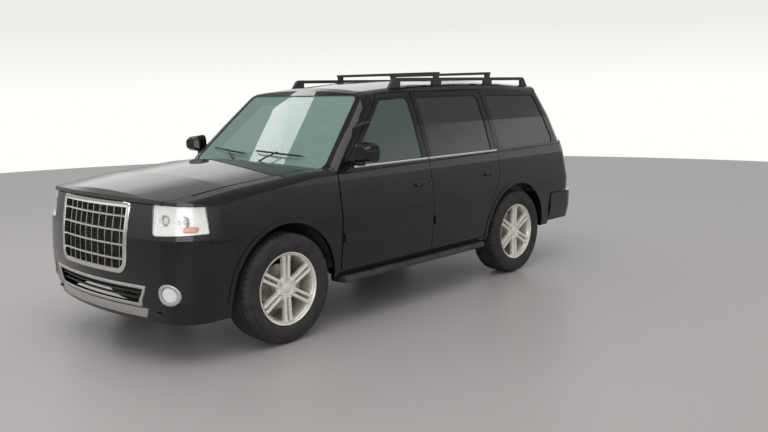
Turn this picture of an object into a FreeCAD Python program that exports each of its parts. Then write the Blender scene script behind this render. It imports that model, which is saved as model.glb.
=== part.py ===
import FreeCAD, Part
import math
import os
import Sketcher
from FreeCAD import Placement, Rotation, Vector

# A full-size sport utility vehicle, body on frame, five doors with an upward opening liftgate.
# Millimetres. The front faces -Y, +X is the vehicle's left, Z is up from the ground and the
# origin is on the ground under the middle of the vehicle. Tables give lengths from the front axle.

doc = FreeCAD.newDocument("sport_utility_vehicle")
sheet = doc.addObject("Spreadsheet::Sheet", "sizes")

# Driving dimensions: alias, value, meaning
SIZES = (
    ("overall_length", 5130, "bumper to bumper"),
    ("front_overhang", 1000, "front bumper to front axle"),
    ("wheelbase", 2946, "front axle to rear axle"),
    ("track_front", 1732, "between the front tyres' middles"),
    ("track_rear", 1716, "between the rear tyres' middles"),
    ("tyre_radius", 405, "outer radius of the tyre"),
    ("tyre_width", 275, "section width of the tyre"),
    ("rim_radius", 268, "outer radius of the alloy wheel's flange"),
    ("rim_width", 240, "width of the alloy wheel over its flanges"),
    ("barrel_radius", 246, "outer radius of the alloy wheel's barrel"),
    ("barrel_wall", 10, "wall of the alloy wheel's barrel"),
    ("spoke_width", 26, "one bar of a double spoke"),
    ("spoke_pitch", 46, "between the two bars of a double spoke"),
    ("spoke_count", 6, "double spokes in a wheel"),
    ("disc_radius", 165, "brake disc"),
    ("arch_radius", 478, "wheel arch opening"),
    ("arch_lip", 34, "width of the raised lip round an arch"),
    ("lip_stand", 5, "how far the arch lip stands out"),
    ("body_skin", 26, "thickness of fender, hood and fascia walls"),
    ("door_depth", 96, "thickness of a door below the window line"),
    ("door_flange", 30, "thickness of the flange round a door"),
    ("door_step", 15, "width of the flange round a door"),
    ("wall_depth", 132, "thickness of the body wall below the window line"),
    ("frame_depth", 22, "thickness of a door's window frame"),
    ("pillar_depth", 62, "thickness of the body wall above the window line"),
    ("roof_depth", 42, "thickness of the roof"),
    ("gate_depth", 72, "thickness of the liftgate below the window line"),
    ("seal_gap", 6, "gap between a closed door and the body behind it"),
    ("panel_gap", 6, "gap between neighbouring panels"),
    ("glass_inset", 8, "glass below the surface of its frame"),
    ("glass_thickness", 5, "glass"),
    ("belt_height", 1222, "window line above the ground"),
    ("rocker_bottom", 395, "lowest edge of the body side"),
    ("floor_height", 540, "top of the cabin floor"),
    ("cargo_height", 740, "top of the load floor"),
    ("floor_thickness", 40, "cabin floor"),
    ("rail_offset", 430, "frame rail's middle from the centre line"),
    ("rail_width", 76, "frame rail"),
    ("rail_height", 150, "frame rail"),
    ("rail_bottom", 345, "underside of the frame rail in the middle"),
    ("bar_height", 24, "roof crossbar"),
    ("bar_width", 62, "roof crossbar"),
    ("rack_top", 1953, "top of the roof rack"),
    ("step_width", 165, "running board"),
    ("step_thickness", 50, "running board"),
    ("receiver_outer", 63.5, "hitch receiver tube, outside"),
    ("receiver_inner", 51, "hitch receiver tube, inside"),
    ("hitch_pin_radius", 8.2, "hole for the hitch pin"),
    ("seat_clearance", 0.3, "running clearance between a piece and its seat"),
)
for row, (alias, value, meaning) in enumerate(SIZES, 1):
    sheet.set("A%d" % row, alias)
    sheet.set("B%d" % row, str(value))
    sheet.set("C%d" % row, meaning)
    sheet.setAlias("B%d" % row, alias)
doc.recompute()


class Length:
    """A length that keeps the formula which binds it to the sheet."""

    def __init__(self, value, formula):
        self.value = float(value)
        self.formula = formula

    def __float__(self):
        return self.value

    def joined(self, other, sign, result, swapped=False):
        text = other.formula if isinstance(other, Length) else "%.6g" % other
        first, second = (text, self.formula) if swapped else (self.formula, text)
        return Length(result, "(%s %s %s)" % (first, sign, second))

    def __add__(self, other):
        return self.joined(other, "+", self.value + float(other))

    def __radd__(self, other):
        return self.joined(other, "+", float(other) + self.value, True)

    def __sub__(self, other):
        return self.joined(other, "-", self.value - float(other))

    def __rsub__(self, other):
        return self.joined(other, "-", float(other) - self.value, True)

    def __mul__(self, other):
        return self.joined(other, "*", self.value * float(other))

    def __rmul__(self, other):
        return self.joined(other, "*", float(other) * self.value, True)

    def __truediv__(self, other):
        return self.joined(other, "/", self.value / float(other))

    def __neg__(self):
        return 0 - self


def cell(alias):
    return Length(getattr(sheet, alias), "sizes." + alias)


def size(alias):
    return float(getattr(sheet, alias))


front_line = cell("front_overhang") - cell("overall_length") / 2
rear_line = front_line + cell("wheelbase")
front_axle, rear_axle = float(front_line), float(rear_line)
tyre_radius = size("tyre_radius")
arch_radius = size("arch_radius")
arch_outer = arch_radius + size("arch_lip")
panel_gap = size("panel_gap")
seat_clearance = size("seat_clearance")
body_skin = size("body_skin")
belt = size("belt_height")
far = 6000.0
rear_end = size("overall_length") - size("front_overhang")


# Outline helpers. A point is (u, v) or (u, v, corner radius).
def rounded_outline(points):
    """Closed wire whose corners are rounded, in the UV plane as Z = 0."""
    count = len(points)
    corners = []
    for i, point in enumerate(points):
        here = Vector(point[0], point[1], 0)
        radius = point[2] if len(point) > 2 else 0
        before = Vector(*points[i - 1][:2], 0) - here
        after = Vector(*points[(i + 1) % count][:2], 0) - here
        if radius <= 0:
            corners.append((here, None, here))
            continue
        half = before.getAngle(after) / 2
        reach = radius / math.tan(half)
        before.normalize()
        after.normalize()
        start, end = here + before * reach, here + after * reach
        inward = before + after
        inward.normalize()
        middle = here + inward * (radius / math.sin(half) - radius)
        corners.append((start, middle, end))
    edges = []
    for i, (start, middle, end) in enumerate(corners):
        if middle is not None:
            edges.append(Part.Arc(start, middle, end).toShape())
        following = corners[(i + 1) % count][0]
        if (following - end).Length > 1e-6:
            edges.append(Part.LineSegment(end, following).toShape())
    return Part.Wire(edges)


def prism(points, plane, low, high, grow=0.0):
    """Solid from an outline in 'yz', 'xz' or 'xy', between two values of the third axis."""
    wire = rounded_outline(points)
    if plane == "yz":
        wire.Placement = Placement(Vector(low, 0, 0), Rotation(Vector(1, 1, 1), 120))
    elif plane == "xz":
        wire.Placement = Placement(Vector(0, low, 0), Rotation(Vector(1, 0, 0), 90))
    else:
        wire.Placement = Placement(Vector(0, 0, low), Rotation())
    if grow:
        wire = wire.makeOffset2D(grow, 0)
    axis = {"yz": Vector(1, 0, 0), "xz": Vector(0, 1, 0), "xy": Vector(0, 0, 1)}[plane]
    return Part.Face(wire).extrude(axis * (high - low))


def block(x0, x1, y0, y1, z0, z1):
    return Part.makeBox(x1 - x0, y1 - y0, z1 - z0, Vector(x0, y0, z0))


def along(x0, x1, y0, y1, z0, z1):
    """Block whose lengths are given from the front axle."""
    return block(x0, x1, front_axle + y0, front_axle + y1, z0, z1)


def cross_cylinder(radius, x0, x1, y, z):
    return Part.makeCylinder(radius, x1 - x0, Vector(x0, y, z), Vector(1, 0, 0))


def mirrored(shape):
    return shape.mirror(Vector(0, 0, 0), Vector(1, 0, 0))


def joined(shapes):
    return shapes[0].multiFuse(shapes[1:]).removeSplitter()


def from_axle(points):
    """Side view points given from the front axle, moved to the vehicle's frame."""
    return [(p[0] + front_axle,) + tuple(p[1:]) for p in points]


pieces = {}


def keep(label, thing):
    """Marks an object of the document as a sub-part, under its own label."""
    thing.Label = label
    pieces[label] = thing
    return thing


def node(label, shape):
    """A sub-part whose shape comes from the code."""
    feature = doc.addObject("Part::Feature", label)
    feature.Shape = shape
    return keep(label, feature)


def both_sides(label, shape):
    node(label + "_left", shape)
    node(label + "_right", mirrored(shape))


def twins(label, shape):
    """One sub-part made of a left piece and its mirror image."""
    node(label, Part.makeCompound(shape.Solids + mirrored(shape).Solids))


# Bound primitives: corner and sizes follow the sheet where they are lengths with a formula
def primitive(kind, name, corner, sizes, rotation=Rotation()):
    thing = doc.addObject(kind, name)
    thing.Placement = Placement(Vector(*[float(c) for c in corner]), rotation)
    for axis, value in zip("xyz", corner):
        if isinstance(value, Length):
            thing.setExpression("Placement.Base." + axis, value.formula)
    for prop, value in sizes.items():
        setattr(thing, prop, float(value))
        if isinstance(value, Length):
            thing.setExpression(prop, value.formula)
    return thing


def box(name, x, y, z):
    """Block between a pair of places along each axis; y is given from the front axle."""
    sizes = {"Length": x[1] - x[0], "Width": y[1] - y[0], "Height": z[1] - z[0]}
    return primitive("Part::Box", name, (x[0], front_line + y[0], z[0]), sizes)


TURN = {"x": Rotation(Vector(0, 1, 0), 90), "y": Rotation(Vector(1, 0, 0), -90), "z": Rotation()}


def rod(name, axis, radius, length, start):
    """Cylinder along an axis from its start; the start's y is given from the front axle."""
    corner = (start[0], front_line + start[1], start[2])
    return primitive("Part::Cylinder", name, corner, {"Radius": radius, "Height": length}, TURN[axis])


def fused(label, things):
    union = doc.addObject("Part::MultiFuse", label)
    union.Shapes = things
    union.Refine = True
    return keep(label, union)


def mirror_image(label, source):
    image = doc.addObject("Part::Mirroring", label)
    image.Source = source
    image.Base = Vector(0, 0, 0)
    image.Normal = Vector(1, 0, 0)
    return keep(label, image)


# Plan outlines of the body at a height, all arcs tangent
def plan_outline(z, half, front, front_curve, front_corner, rear, rear_curve, rear_corner):
    def corner(end, curve, radius, sign):
        centre = end + sign * (curve - math.sqrt((curve - radius) ** 2 - (half - radius) ** 2))
        hub = Vector(0, end + sign * curve, 0)
        middle = Vector(half - radius, centre, 0)
        out = middle - hub
        out.normalize()
        on_end = hub + out * curve
        bisector = out + Vector(1, 0, 0)
        bisector.normalize()
        return on_end, middle + bisector * radius, Vector(half, centre, 0)

    def flip(v):
        return Vector(-v.x, v.y, v.z)

    f_end, f_mid, f_side = corner(front, front_curve, front_corner, 1)
    r_end, r_mid, r_side = corner(rear, rear_curve, rear_corner, -1)
    edges = [
        Part.Arc(flip(f_end), Vector(0, front, 0), f_end).toShape(),
        Part.Arc(f_end, f_mid, f_side).toShape(),
        Part.LineSegment(f_side, r_side).toShape(),
        Part.Arc(r_side, r_mid, r_end).toShape(),
        Part.Arc(r_end, Vector(0, rear, 0), flip(r_end)).toShape(),
        Part.Arc(flip(r_end), flip(r_mid), flip(r_side)).toShape(),
        Part.LineSegment(flip(r_side), flip(f_side)).toShape(),
        Part.Arc(flip(f_side), flip(f_mid), flip(f_end)).toShape(),
    ]
    wire = Part.Wire(edges)
    wire.translate(Vector(0, 0, z))
    return wire


# Lower body: height, half width, front, front corner, rear, rear corner; lengths from the front axle
LOWER = (
    (240, 905, -920, 250, 4000, 150),
    (440, 965, -978, 300, 4040, 180),
    (640, 988, -990, 330, 4050, 190),
    (860, 1000, -975, 340, 4040, 190),
    (1130, 966, -925, 310, 3990, 175),
    (1290, 925, -885, 290, 3950, 160),
)
# Greenhouse: height, half width, front, rear
CAB = (
    (1120, 966, 290, 3985),
    (1500, 844, 705, 3870),
    (1960, 660, 1210, 3680),
)
lower_front_curve, lower_rear_curve = 3000, 9000
cab_front_curve, cab_rear_curve = 3000, 5200
cab_front_corner, cab_rear_corner = 80, 130
# Top of hood and shoulders: distance from the front axle, height at the middle, height at the crest
HOOD = (
    (-1060, 1080, 1020),
    (-860, 1150, 1092),
    (-350, 1208, 1158),
    (300, 1262, 1212),
    (1300, 1226, 1222),
    (4300, 1250, 1246),
)
# Roof: distance from the front axle, height at the middle
ROOF = ((200, 1642), (1150, 1826), (1750, 1872), (2400, 1884), (3100, 1878), (4100, 1829))


def lower_envelope(inset, top=True):
    """Lower body set in from the outer skin, closed by the hood and shoulder surface."""
    rows = LOWER if inset == 0 else (LOWER[0], LOWER[1], LOWER[3], LOWER[5])
    wires = []
    for z, half, front, front_corner, rear, rear_corner in rows:
        wires.append(plan_outline(
            z, half - inset, front_axle + front + inset, lower_front_curve - inset,
            max(front_corner - inset, 40), front_axle + rear - inset, lower_rear_curve - inset,
            max(rear_corner - inset, 30)))
    solid = Part.makeLoft(wires, True, True)
    return solid.common(crest_cutter(0)) if top else solid


def crest_cutter(drop):
    """Everything under the hood, the fender crests and the window line, lowered by a drop."""
    wires = []
    for y, middle, crest in HOOD:
        at = front_axle + y
        z, c = middle - drop, crest - drop
        points = [
            Vector(-1150, at, 0), Vector(1150, at, 0), Vector(1150, at, c - 420),
            Vector(1008, at, c - 170), Vector(975, at, c - 62),
            Vector(880, at, c), Vector(0, at, z)]
        side, corner = points[2], points[3]
        left = [Vector(-p.x, p.y, p.z) for p in points]
        edges = [
            Part.LineSegment(points[0], points[1]).toShape(),
            Part.LineSegment(points[1], side).toShape(),
            Part.LineSegment(side, corner).toShape(),
            Part.Arc(corner, points[4], points[5]).toShape(),
            Part.Arc(points[5], points[6], left[5]).toShape(),
            Part.Arc(left[5], left[4], left[3]).toShape(),
            Part.LineSegment(left[3], left[2]).toShape(),
            Part.LineSegment(left[2], points[0]).toShape(),
        ]
        wires.append(Part.Wire(edges))
    return Part.makeLoft(wires, True, True)


def cab_envelope(inset, roof_inset=None):
    """Greenhouse set in from the outer skin."""
    roof_inset = inset if roof_inset is None else roof_inset
    wires = []
    for z, half, front, rear in CAB:
        wires.append(plan_outline(
            z, half - inset, front_axle + front + inset * 1.4, cab_front_curve - inset,
            max(cab_front_corner - inset, 30), front_axle + rear - inset,
            cab_rear_curve - inset, max(cab_rear_corner - inset, 30)))
    solid = Part.makeLoft(wires, True, True)
    wires = []
    for y, middle in ROOF:
        at = front_axle + y
        z = middle - roof_inset
        half = 690 - roof_inset
        edge = [Vector(s * half, at, z - 58) for s in (1, -1)]
        brow = [Vector(s * (half - 120), at, z - 30) for s in (1, -1)]
        bend = [Vector(s * (half - 48), at, z - 40) for s in (1, -1)]
        foot = [Vector(s * (half + 135), at, z - 260) for s in (1, -1)]
        sill = [Vector(s * 1300, at, 700) for s in (1, -1)]
        knee = [Vector(s * (half + 62), at, z - 112) for s in (1, -1)]
        wires.append(Part.Wire([
            Part.LineSegment(sill[1], sill[0]).toShape(),
            Part.LineSegment(sill[0], foot[0]).toShape(),
            Part.Arc(foot[0], knee[0], edge[0]).toShape(),
            Part.Arc(edge[0], bend[0], brow[0]).toShape(),
            Part.Arc(brow[0], Vector(0, at, z), brow[1]).toShape(),
            Part.Arc(brow[1], bend[1], edge[1]).toShape(),
            Part.Arc(edge[1], knee[1], foot[1]).toShape(),
            Part.LineSegment(foot[1], sill[1]).toShape(),
        ]))
    return solid.common(Part.makeLoft(wires, True, True))


def above(shape, height):
    return shape.common(block(-far, far, -far, far, height, far))


def shell_envelope(low_inset, cab_inset, roof_inset=None):
    """Cavity behind a wall: lower body and greenhouse, each set in by its own depth."""
    low = lower_envelope(low_inset, False).common(block(-far, far, -far, far, 0, belt - 12))
    return low.fuse(above(cab_envelope(cab_inset, roof_inset), belt - 13))


lower_skin = lower_envelope(0)
skin = lower_skin.fuse(above(cab_envelope(0), belt - 80))
door_depth, wall_depth = size("door_depth"), size("wall_depth")
frame_depth, pillar_depth = size("frame_depth"), size("pillar_depth")
seal_gap = size("seal_gap")
door_back = shell_envelope(door_depth, frame_depth)
seal_face = shell_envelope(door_depth + seal_gap, frame_depth + seal_gap)
cabin_side = shell_envelope(wall_depth, pillar_depth, size("roof_depth"))
flange_back = lower_envelope(size("door_flange"), False)
lower_inner = lower_envelope(body_skin, False).common(crest_cutter(body_skin))

# Glass lies between two envelopes; its slot is a little wider on the inner side
glass_inset, glass_thickness = size("glass_inset"), size("glass_thickness")
glass_outer = cab_envelope(glass_inset)
glass_layer = above(glass_outer.cut(cab_envelope(glass_inset + glass_thickness)), belt - 40)
glass_slot = above(glass_outer.cut(cab_envelope(glass_inset + glass_thickness + seat_clearance)), belt - 40)
glass_tuck, slot_tuck = 12, 13

# Side view outlines: distance, height, corner radius
door_front_y, door_split_y, door_rear_y = 552, 1642, 2655
door_top, door_bottom = 1782, 428
half_gap = panel_gap / 2
swing_room = 6


def front_door_outline(lean):
    """Front door; its window frame leans away from the rear door to leave room to swing."""
    rear = door_split_y - half_gap
    return from_axle([
        (door_front_y, door_bottom, 40), (rear, door_bottom, 30), (rear, belt), (rear - lean / 2, door_top, 25),
        (1248, door_top - 10, 60), (672, belt + 30, 30), (door_front_y, belt - 40, 20)])


def rear_door_outline(lean):
    front = door_split_y + half_gap
    return from_axle([
        (front, door_bottom, 30), (2420, door_bottom, 60), (2470, 700, 150), (door_rear_y, 1010, 120),
        (door_rear_y, belt), (door_rear_y - lean, door_top, 40), (front + lean / 2, door_top, 25),
        (front, belt)])


window_border = 62
window_top = door_top - 48
FRONT_WINDOW = from_axle([
    (790, belt, 25), (door_split_y - window_border, belt, 30),
    (door_split_y - window_border, window_top, 40), (1240, window_top - 6, 50), (775, belt + 62, 20)])
REAR_WINDOW = from_axle([
    (door_split_y + window_border, belt, 30), (door_rear_y - window_border - 6, belt, 45),
    (door_rear_y - window_border - 6, window_top, 55), (door_split_y + window_border, window_top, 40)])
QUARTER_WINDOW = from_axle([
    (door_rear_y + 78, belt + 4, 45), (3700, belt + 12, 60), (3560, window_top - 12, 70),
    (door_rear_y + 78, window_top - 2, 45)])
doorway_inset = 46
arch_z = tyre_radius
rear_arch = cross_cylinder(arch_radius, -far, far, rear_axle, arch_z)
front_arch = cross_cylinder(arch_radius, -far, far, front_axle, arch_z)


def glass_pane(outline, plane, low, high):
    """Glass that follows the skin, tucked behind its frame all round."""
    return glass_layer.common(prism(outline, plane, low, high, glass_tuck))


def glass_opening(outline, plane, low, high):
    """What a window takes out of its panel: the opening and the slot for the glass."""
    slot = glass_slot.common(prism(outline, plane, low, high, slot_tuck))
    return prism(outline, plane, low, high).fuse(slot)


# Doors: full depth below the window line, a flange round the edge, a frame round the glass above
moulding_low, moulding_high, moulding_face, moulding_end = 655, 725, 1003, 14
side_start, side_end = 645, 1300


def door(outline, window):
    body = skin.common(prism(outline, "yz", side_start, side_end)).cut(door_back)
    strip = prism([(-far, moulding_low), (far, moulding_low), (far, moulding_high), (-far, moulding_high)],
                  "yz", 900, moulding_face).common(prism(outline, "yz", side_start, far, -moulding_end))
    body = body.fuse(strip.cut(door_back))
    core = prism(outline, "yz", side_start, side_end, -size("door_step"))
    edge = prism(outline, "yz", side_start, side_end, 20).cut(core)
    body = body.cut(edge.common(flange_back).common(block(0, side_end, -far, far, 0, belt)))
    return body.cut(glass_opening(window, "yz", side_start, far))


rear_arch_clear = cross_cylinder(arch_outer + panel_gap, -far, far, rear_axle, arch_z)
front_door = door(front_door_outline(swing_room), FRONT_WINDOW)
both_sides("door_front", front_door)
both_sides("door_rear", door(rear_door_outline(swing_room), REAR_WINDOW).cut(rear_arch_clear))
both_sides("door_glass_front", glass_pane(FRONT_WINDOW, "yz", side_start, far))
both_sides("door_glass_rear", glass_pane(REAR_WINDOW, "yz", side_start, far))

# Front view outlines of windscreen and liftgate
windscreen_low, windscreen_top = belt + 14, 1764
WINDSCREEN = [(-836, windscreen_low - 30, 50), (836, windscreen_low - 30, 50),
              (662, windscreen_top, 70), (-662, windscreen_top, 70)]
screen_rear = front_axle + 1130
bumper_front, bumper_top = 3555, 720
gate_bottom, gate_half, roof_rear = bumper_top + 2 * panel_gap, 745, 3690


def symmetric(points):
    """A front view outline from its right half, listed from the bottom up."""
    return [(-p[0],) + tuple(p[1:]) for p in points] + list(reversed(points))


GATE_UPPER = [(gate_half + 32, 1000, 200), (gate_half + 8, belt, 200), (678, 1780, 300), (600, 2000)]
GATE = symmetric([(gate_half, gate_bottom, 50)] + GATE_UPPER)
GATE_DEEP = symmetric([(gate_half - 12, gate_bottom - 100)] + GATE_UPPER)
GATE_WINDOW = symmetric([(710, belt + 26, 60), (634, 1722, 80)])
gate_front = front_axle + roof_rear + 2 * panel_gap
TAIL_LAMP = [(gate_half + 44, 930, 30), (1100, 930), (1100, 1330), (gate_half - 4 + 30, 1330, 30)]
tail_front = front_axle + 3872
HEAD_LAMP = [(655, 1092, 20), (676, 886, 30), (1100, 905), (1100, 1066)]
lamp_rear = front_axle - 650
fascia_top, fascia_rear, fascia_bottom = 835, front_axle - 440, 285
hood_rear, hood_side, hood_front = 395, 792, -905


def hood_plan(grow=0.0):
    """Plan of the hood: slightly bowed front, sides along the fenders, rear along the windscreen."""
    side = hood_side + grow
    front = front_axle + hood_front - grow
    shoulder = front_axle + hood_front + 205
    rear_corner, rear_middle = front_axle + hood_rear + 72 + grow, front_axle + hood_rear - 32 + grow
    a, b = Vector(-side + 150, front, 0), Vector(side - 150, front, 0)
    c, d = Vector(side - 24, shoulder, 0), Vector(side, rear_corner, 0)
    e, f = Vector(-side, rear_corner, 0), Vector(-side + 24, shoulder, 0)
    face = Part.Face(Part.Wire([
        Part.Arc(a, Vector(0, front - 45, 0), b).toShape(),
        Part.Arc(b, Vector(side - 66, front + 62, 0), c).toShape(),
        Part.LineSegment(c, d).toShape(),
        Part.Arc(d, Vector(0, rear_middle, 0), e).toShape(),
        Part.LineSegment(e, f).toShape(),
        Part.Arc(f, Vector(-side + 66, front + 62, 0), a).toShape()]))
    face.translate(Vector(0, 0, 900))
    return face.extrude(Vector(0, 0, 500))


# Pins of the hinges: the hood turns on pins in the fenders, the liftgate on pins in the roof
hinge_pin_radius = 4.5
hood_pin_y, hood_pin_z, hood_pin_in, hood_pin_out = front_axle + 440, 1210, 765, 806
gate_pin_y, gate_pin_z, gate_pin_x, gate_pin_half = front_axle + roof_rear + 18, 1838, 160, 30
tongue_half = 12


def hood_pins(clearance=0.0):
    """Pins in the fenders' inner edges, or the bores for them in the hood."""
    pin = cross_cylinder(hinge_pin_radius + clearance, hood_pin_in - clearance, hood_pin_out, hood_pin_y, hood_pin_z)
    return pin.fuse(mirrored(pin))


def gate_pins(clearance=0.0):
    """Pins across the liftgate's front edge, or the bores for them."""
    reach = gate_pin_half + clearance
    pins = [cross_cylinder(hinge_pin_radius + clearance, x - reach, x + reach, gate_pin_y, gate_pin_z)
            for x in (-gate_pin_x, gate_pin_x)]
    return pins[0].fuse(pins[1])


def gate_tongues(clearance=0.0):
    """Tongues from the roof that hold the pins, or the notches in the liftgate that clear them."""
    half, back = tongue_half + clearance, gate_pin_y + (hinge_pin_radius + clearance if clearance else 0)
    low = gate_pin_z - hinge_pin_radius + 0.5 - clearance
    high = 1900 if clearance else gate_pin_z + hinge_pin_radius - 0.5
    tongues = [block(x - half, x + half, front_axle + roof_rear - 20, back, low, high)
               for x in (-gate_pin_x, gate_pin_x)]
    return tongues[0].fuse(tongues[1])


node("hood", lower_skin.common(hood_plan()).cut(crest_cutter(body_skin)).cut(hood_pins(seat_clearance)))
hood_room = hood_plan(panel_gap).cut(crest_cutter(body_skin + panel_gap))
screen_opening = glass_opening(WINDSCREEN, "xz", -far, screen_rear)
gate_room = prism(GATE, "xz", front_axle + roof_rear, far, panel_gap)
gate_inner = shell_envelope(size("gate_depth"), 46)
tail_zone = prism(TAIL_LAMP, "xz", tail_front, far).cut(gate_inner)


def arch_ring(y):
    """Raised lip round a wheel arch, following the body side."""
    ring = cross_cylinder(arch_outer, 860, far, y, arch_z).cut(cross_cylinder(arch_radius, 0, far, y, arch_z))
    outer = lower_skin.copy()
    outer.translate(Vector(size("lip_stand"), 0, 0))
    low = block(0, far, -far, far, size("rocker_bottom"), far)
    return ring.common(outer).common(low).cut(lower_inner)


# Body sides: wall with doorways, a seal face behind each door, pillars, window and wheel arch
roof_half = 628
body_side = skin.common(along(0, far, door_front_y - panel_gap, far, size("rocker_bottom"), far))
body_side = body_side.cut(cabin_side).cut(along(-far, 790, 0, 760, 1100, 1224))
body_side = body_side.cut(along(-far, roof_half, -far, roof_rear, belt + 30, far))
arch_keep = cross_cylinder(arch_outer, -far, far, rear_axle, arch_z)
arch_wall = cross_cylinder(arch_outer + doorway_inset, -far, far, rear_axle, arch_z)
for outline, behind_arch in ((front_door_outline(0), False), (rear_door_outline(0), True)):
    opening = prism(outline, "yz", 300, far, panel_gap)
    through = prism(outline, "yz", 300, far, -doorway_inset)
    if behind_arch:
        opening = opening.cut(arch_keep)
        through = through.cut(arch_wall)
    body_side = body_side.cut(opening.cut(seal_face)).cut(through)
body_side = body_side.cut(glass_opening(QUARTER_WINDOW, "yz", 300, far)).cut(screen_opening)
body_side = body_side.fuse(arch_ring(rear_axle)).cut(rear_arch)
body_side = body_side.cut(prism(GATE_DEEP, "xz", front_axle + roof_rear, far, panel_gap))
body_side = body_side.cut(hood_plan(panel_gap)).cut(tail_zone)
body_side = body_side.cut(along(0, far, bumper_front, far, 0, bumper_top + panel_gap))
both_sides("body_side", body_side)
twins("quarter_glass", glass_pane(QUARTER_WINDOW, "yz", 300, far))

# Roof with the windscreen header
roof = skin.cut(cabin_side).common(along(-roof_half, roof_half, 900, roof_rear, 1740, far))
node("roof_panel", joined([roof.cut(screen_opening), gate_tongues(), gate_pins()]))
node("windscreen", glass_pane(WINDSCREEN, "xz", -far, screen_rear))

# Liftgate, its glass and the tail lamps beside it
gate = skin.common(prism(GATE, "xz", gate_front, far)).cut(gate_inner)
gate = gate.cut(gate_pins(seat_clearance)).cut(gate_tongues(panel_gap))
node("liftgate", gate.cut(glass_opening(GATE_WINDOW, "xz", gate_front, far)))
node("liftgate_glass", glass_pane(GATE_WINDOW, "xz", gate_front, far))
lamp_fit = prism(TAIL_LAMP, "xz", tail_front + seat_clearance, far, -seat_clearance).cut(gate_inner)
twins("tail_lamps", skin.common(lamp_fit))

# Front fenders, from the lamp to the door
lower_wall = skin.cut(lower_inner).cut(hood_plan(panel_gap)).cut(screen_opening)
lamp_opening = prism(HEAD_LAMP, "xz", -far, lamp_rear)
fender = lower_wall.common(along(hood_side, far, -far, door_front_y - panel_gap * 2, size("rocker_bottom"), far))
fascia_zone = joined([
    block(-far, far, -far, fascia_rear, 0, fascia_top), block(-far, far, -far, lamp_rear, 0, far)])
front_lip = arch_ring(front_axle)
fascia_front = skin.cut(lower_inner).cut(hood_room)
brow_zone = along(700, far, -far, -640, 1060, far)
brow = fascia_front.common(brow_zone).cut(hood_plan(panel_gap)).cut(lamp_opening)
fender_pin = hood_pins().common(block(0, far, -far, far, 0, far))
fender = joined([fender.cut(fascia_zone), front_lip.cut(fascia_zone), brow, fender_pin]).cut(front_arch)
twins("fenders", fender)

# Front fascia with openings for grille, lamps, intake and fog lamps
GRILLE = symmetric([(440, 606, 95), (455, 1092, 34)])
INTAKE = symmetric([(520, 418, 40), (585, 522, 34)])
fog_x, fog_z, fog_radius = 795, 500, 56
fascia_gap = 3
fascia = fascia_front.common(block(-far, far, -far, fascia_rear - fascia_gap, fascia_bottom, fascia_top - fascia_gap))
upper_front = fascia_front.common(block(-far, far, -far, lamp_rear - fascia_gap, fascia_top - fascia_gap, far))
brow_room = along(700, far, -far, -640, 1057, far)
lip_zone = block(-far, far, -far, fascia_rear - fascia_gap, fascia_bottom, fascia_top - fascia_gap)
fascia = joined([fascia, upper_front.cut(brow_room).cut(mirrored(brow_room)), front_lip.common(lip_zone),
                 mirrored(front_lip).common(lip_zone)]).cut(front_arch)
fog_holes = [Part.makeCylinder(fog_radius, 900, Vector(s * fog_x, front_axle - 1300, fog_z), Vector(0, 1, 0))
             for s in (1, -1)]
fascia = fascia.cut(joined([prism(GRILLE, "xz", -far, front_axle - 600),
                            prism(INTAKE, "xz", -far, front_axle - 600)] + fog_holes))
fascia = fascia.cut(lamp_opening).cut(mirrored(lamp_opening))
node("front_bumper", fascia)


def front_slab(shift_out, shift_in):
    """Slab that follows the front of the body, between two distances from it."""
    outer, inner = lower_skin.copy(), lower_skin.copy()
    outer.translate(Vector(0, shift_out, 0))
    inner.translate(Vector(0, shift_in, 0))
    return outer.cut(inner).common(block(-700, 700, -far, front_axle - 700, 300, 1150))


# Grille: a frame with rounded lower corners, level bars and thin uprights behind them
frame_width, grille_stand = 36, 10
grille_bars, grille_uprights, bar_thickness, upright_thickness = 4, 9, 16, 7
frame_slab = front_slab(-grille_stand, body_skin)
opening_inner = prism(GRILLE, "xz", -far, front_axle - 600, -frame_width)
grille = frame_slab.common(prism(GRILLE, "xz", -far, front_axle - 600, -seat_clearance)).cut(opening_inner)
bars = []
for i in range(grille_bars):
    z = 606 + (1092 - 606) * (i + 1) / (grille_bars + 1)
    bars.append(block(-460, 460, -far, front_axle - 600, z - bar_thickness / 2, z + bar_thickness / 2))
level_bars = front_slab(4, 34).common(joined(bars))
uprights = []
for i in range(grille_uprights):
    x = 860 * ((i + 1) / (grille_uprights + 1) - 0.5)
    uprights.append(block(x - upright_thickness / 2, x + upright_thickness / 2, -far, front_axle - 600, 500, 1110))
thin_uprights = front_slab(14, 30).common(joined(uprights))
inside = prism(GRILLE, "xz", -far, front_axle - 600, -frame_width + 10)
grille = grille.fuse(level_bars.fuse(thin_uprights).common(inside)).removeSplitter()
intake_bars = [block(-600, 600, -far, front_axle - 600, z - 6, z + 6) for z in (452, 488)]
intake = front_slab(12, 34).common(joined(intake_bars)).common(
    prism(INTAKE, "xz", -far, front_axle - 600, -seat_clearance))
node("grille", Part.makeCompound([grille] + intake.Solids))

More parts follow.
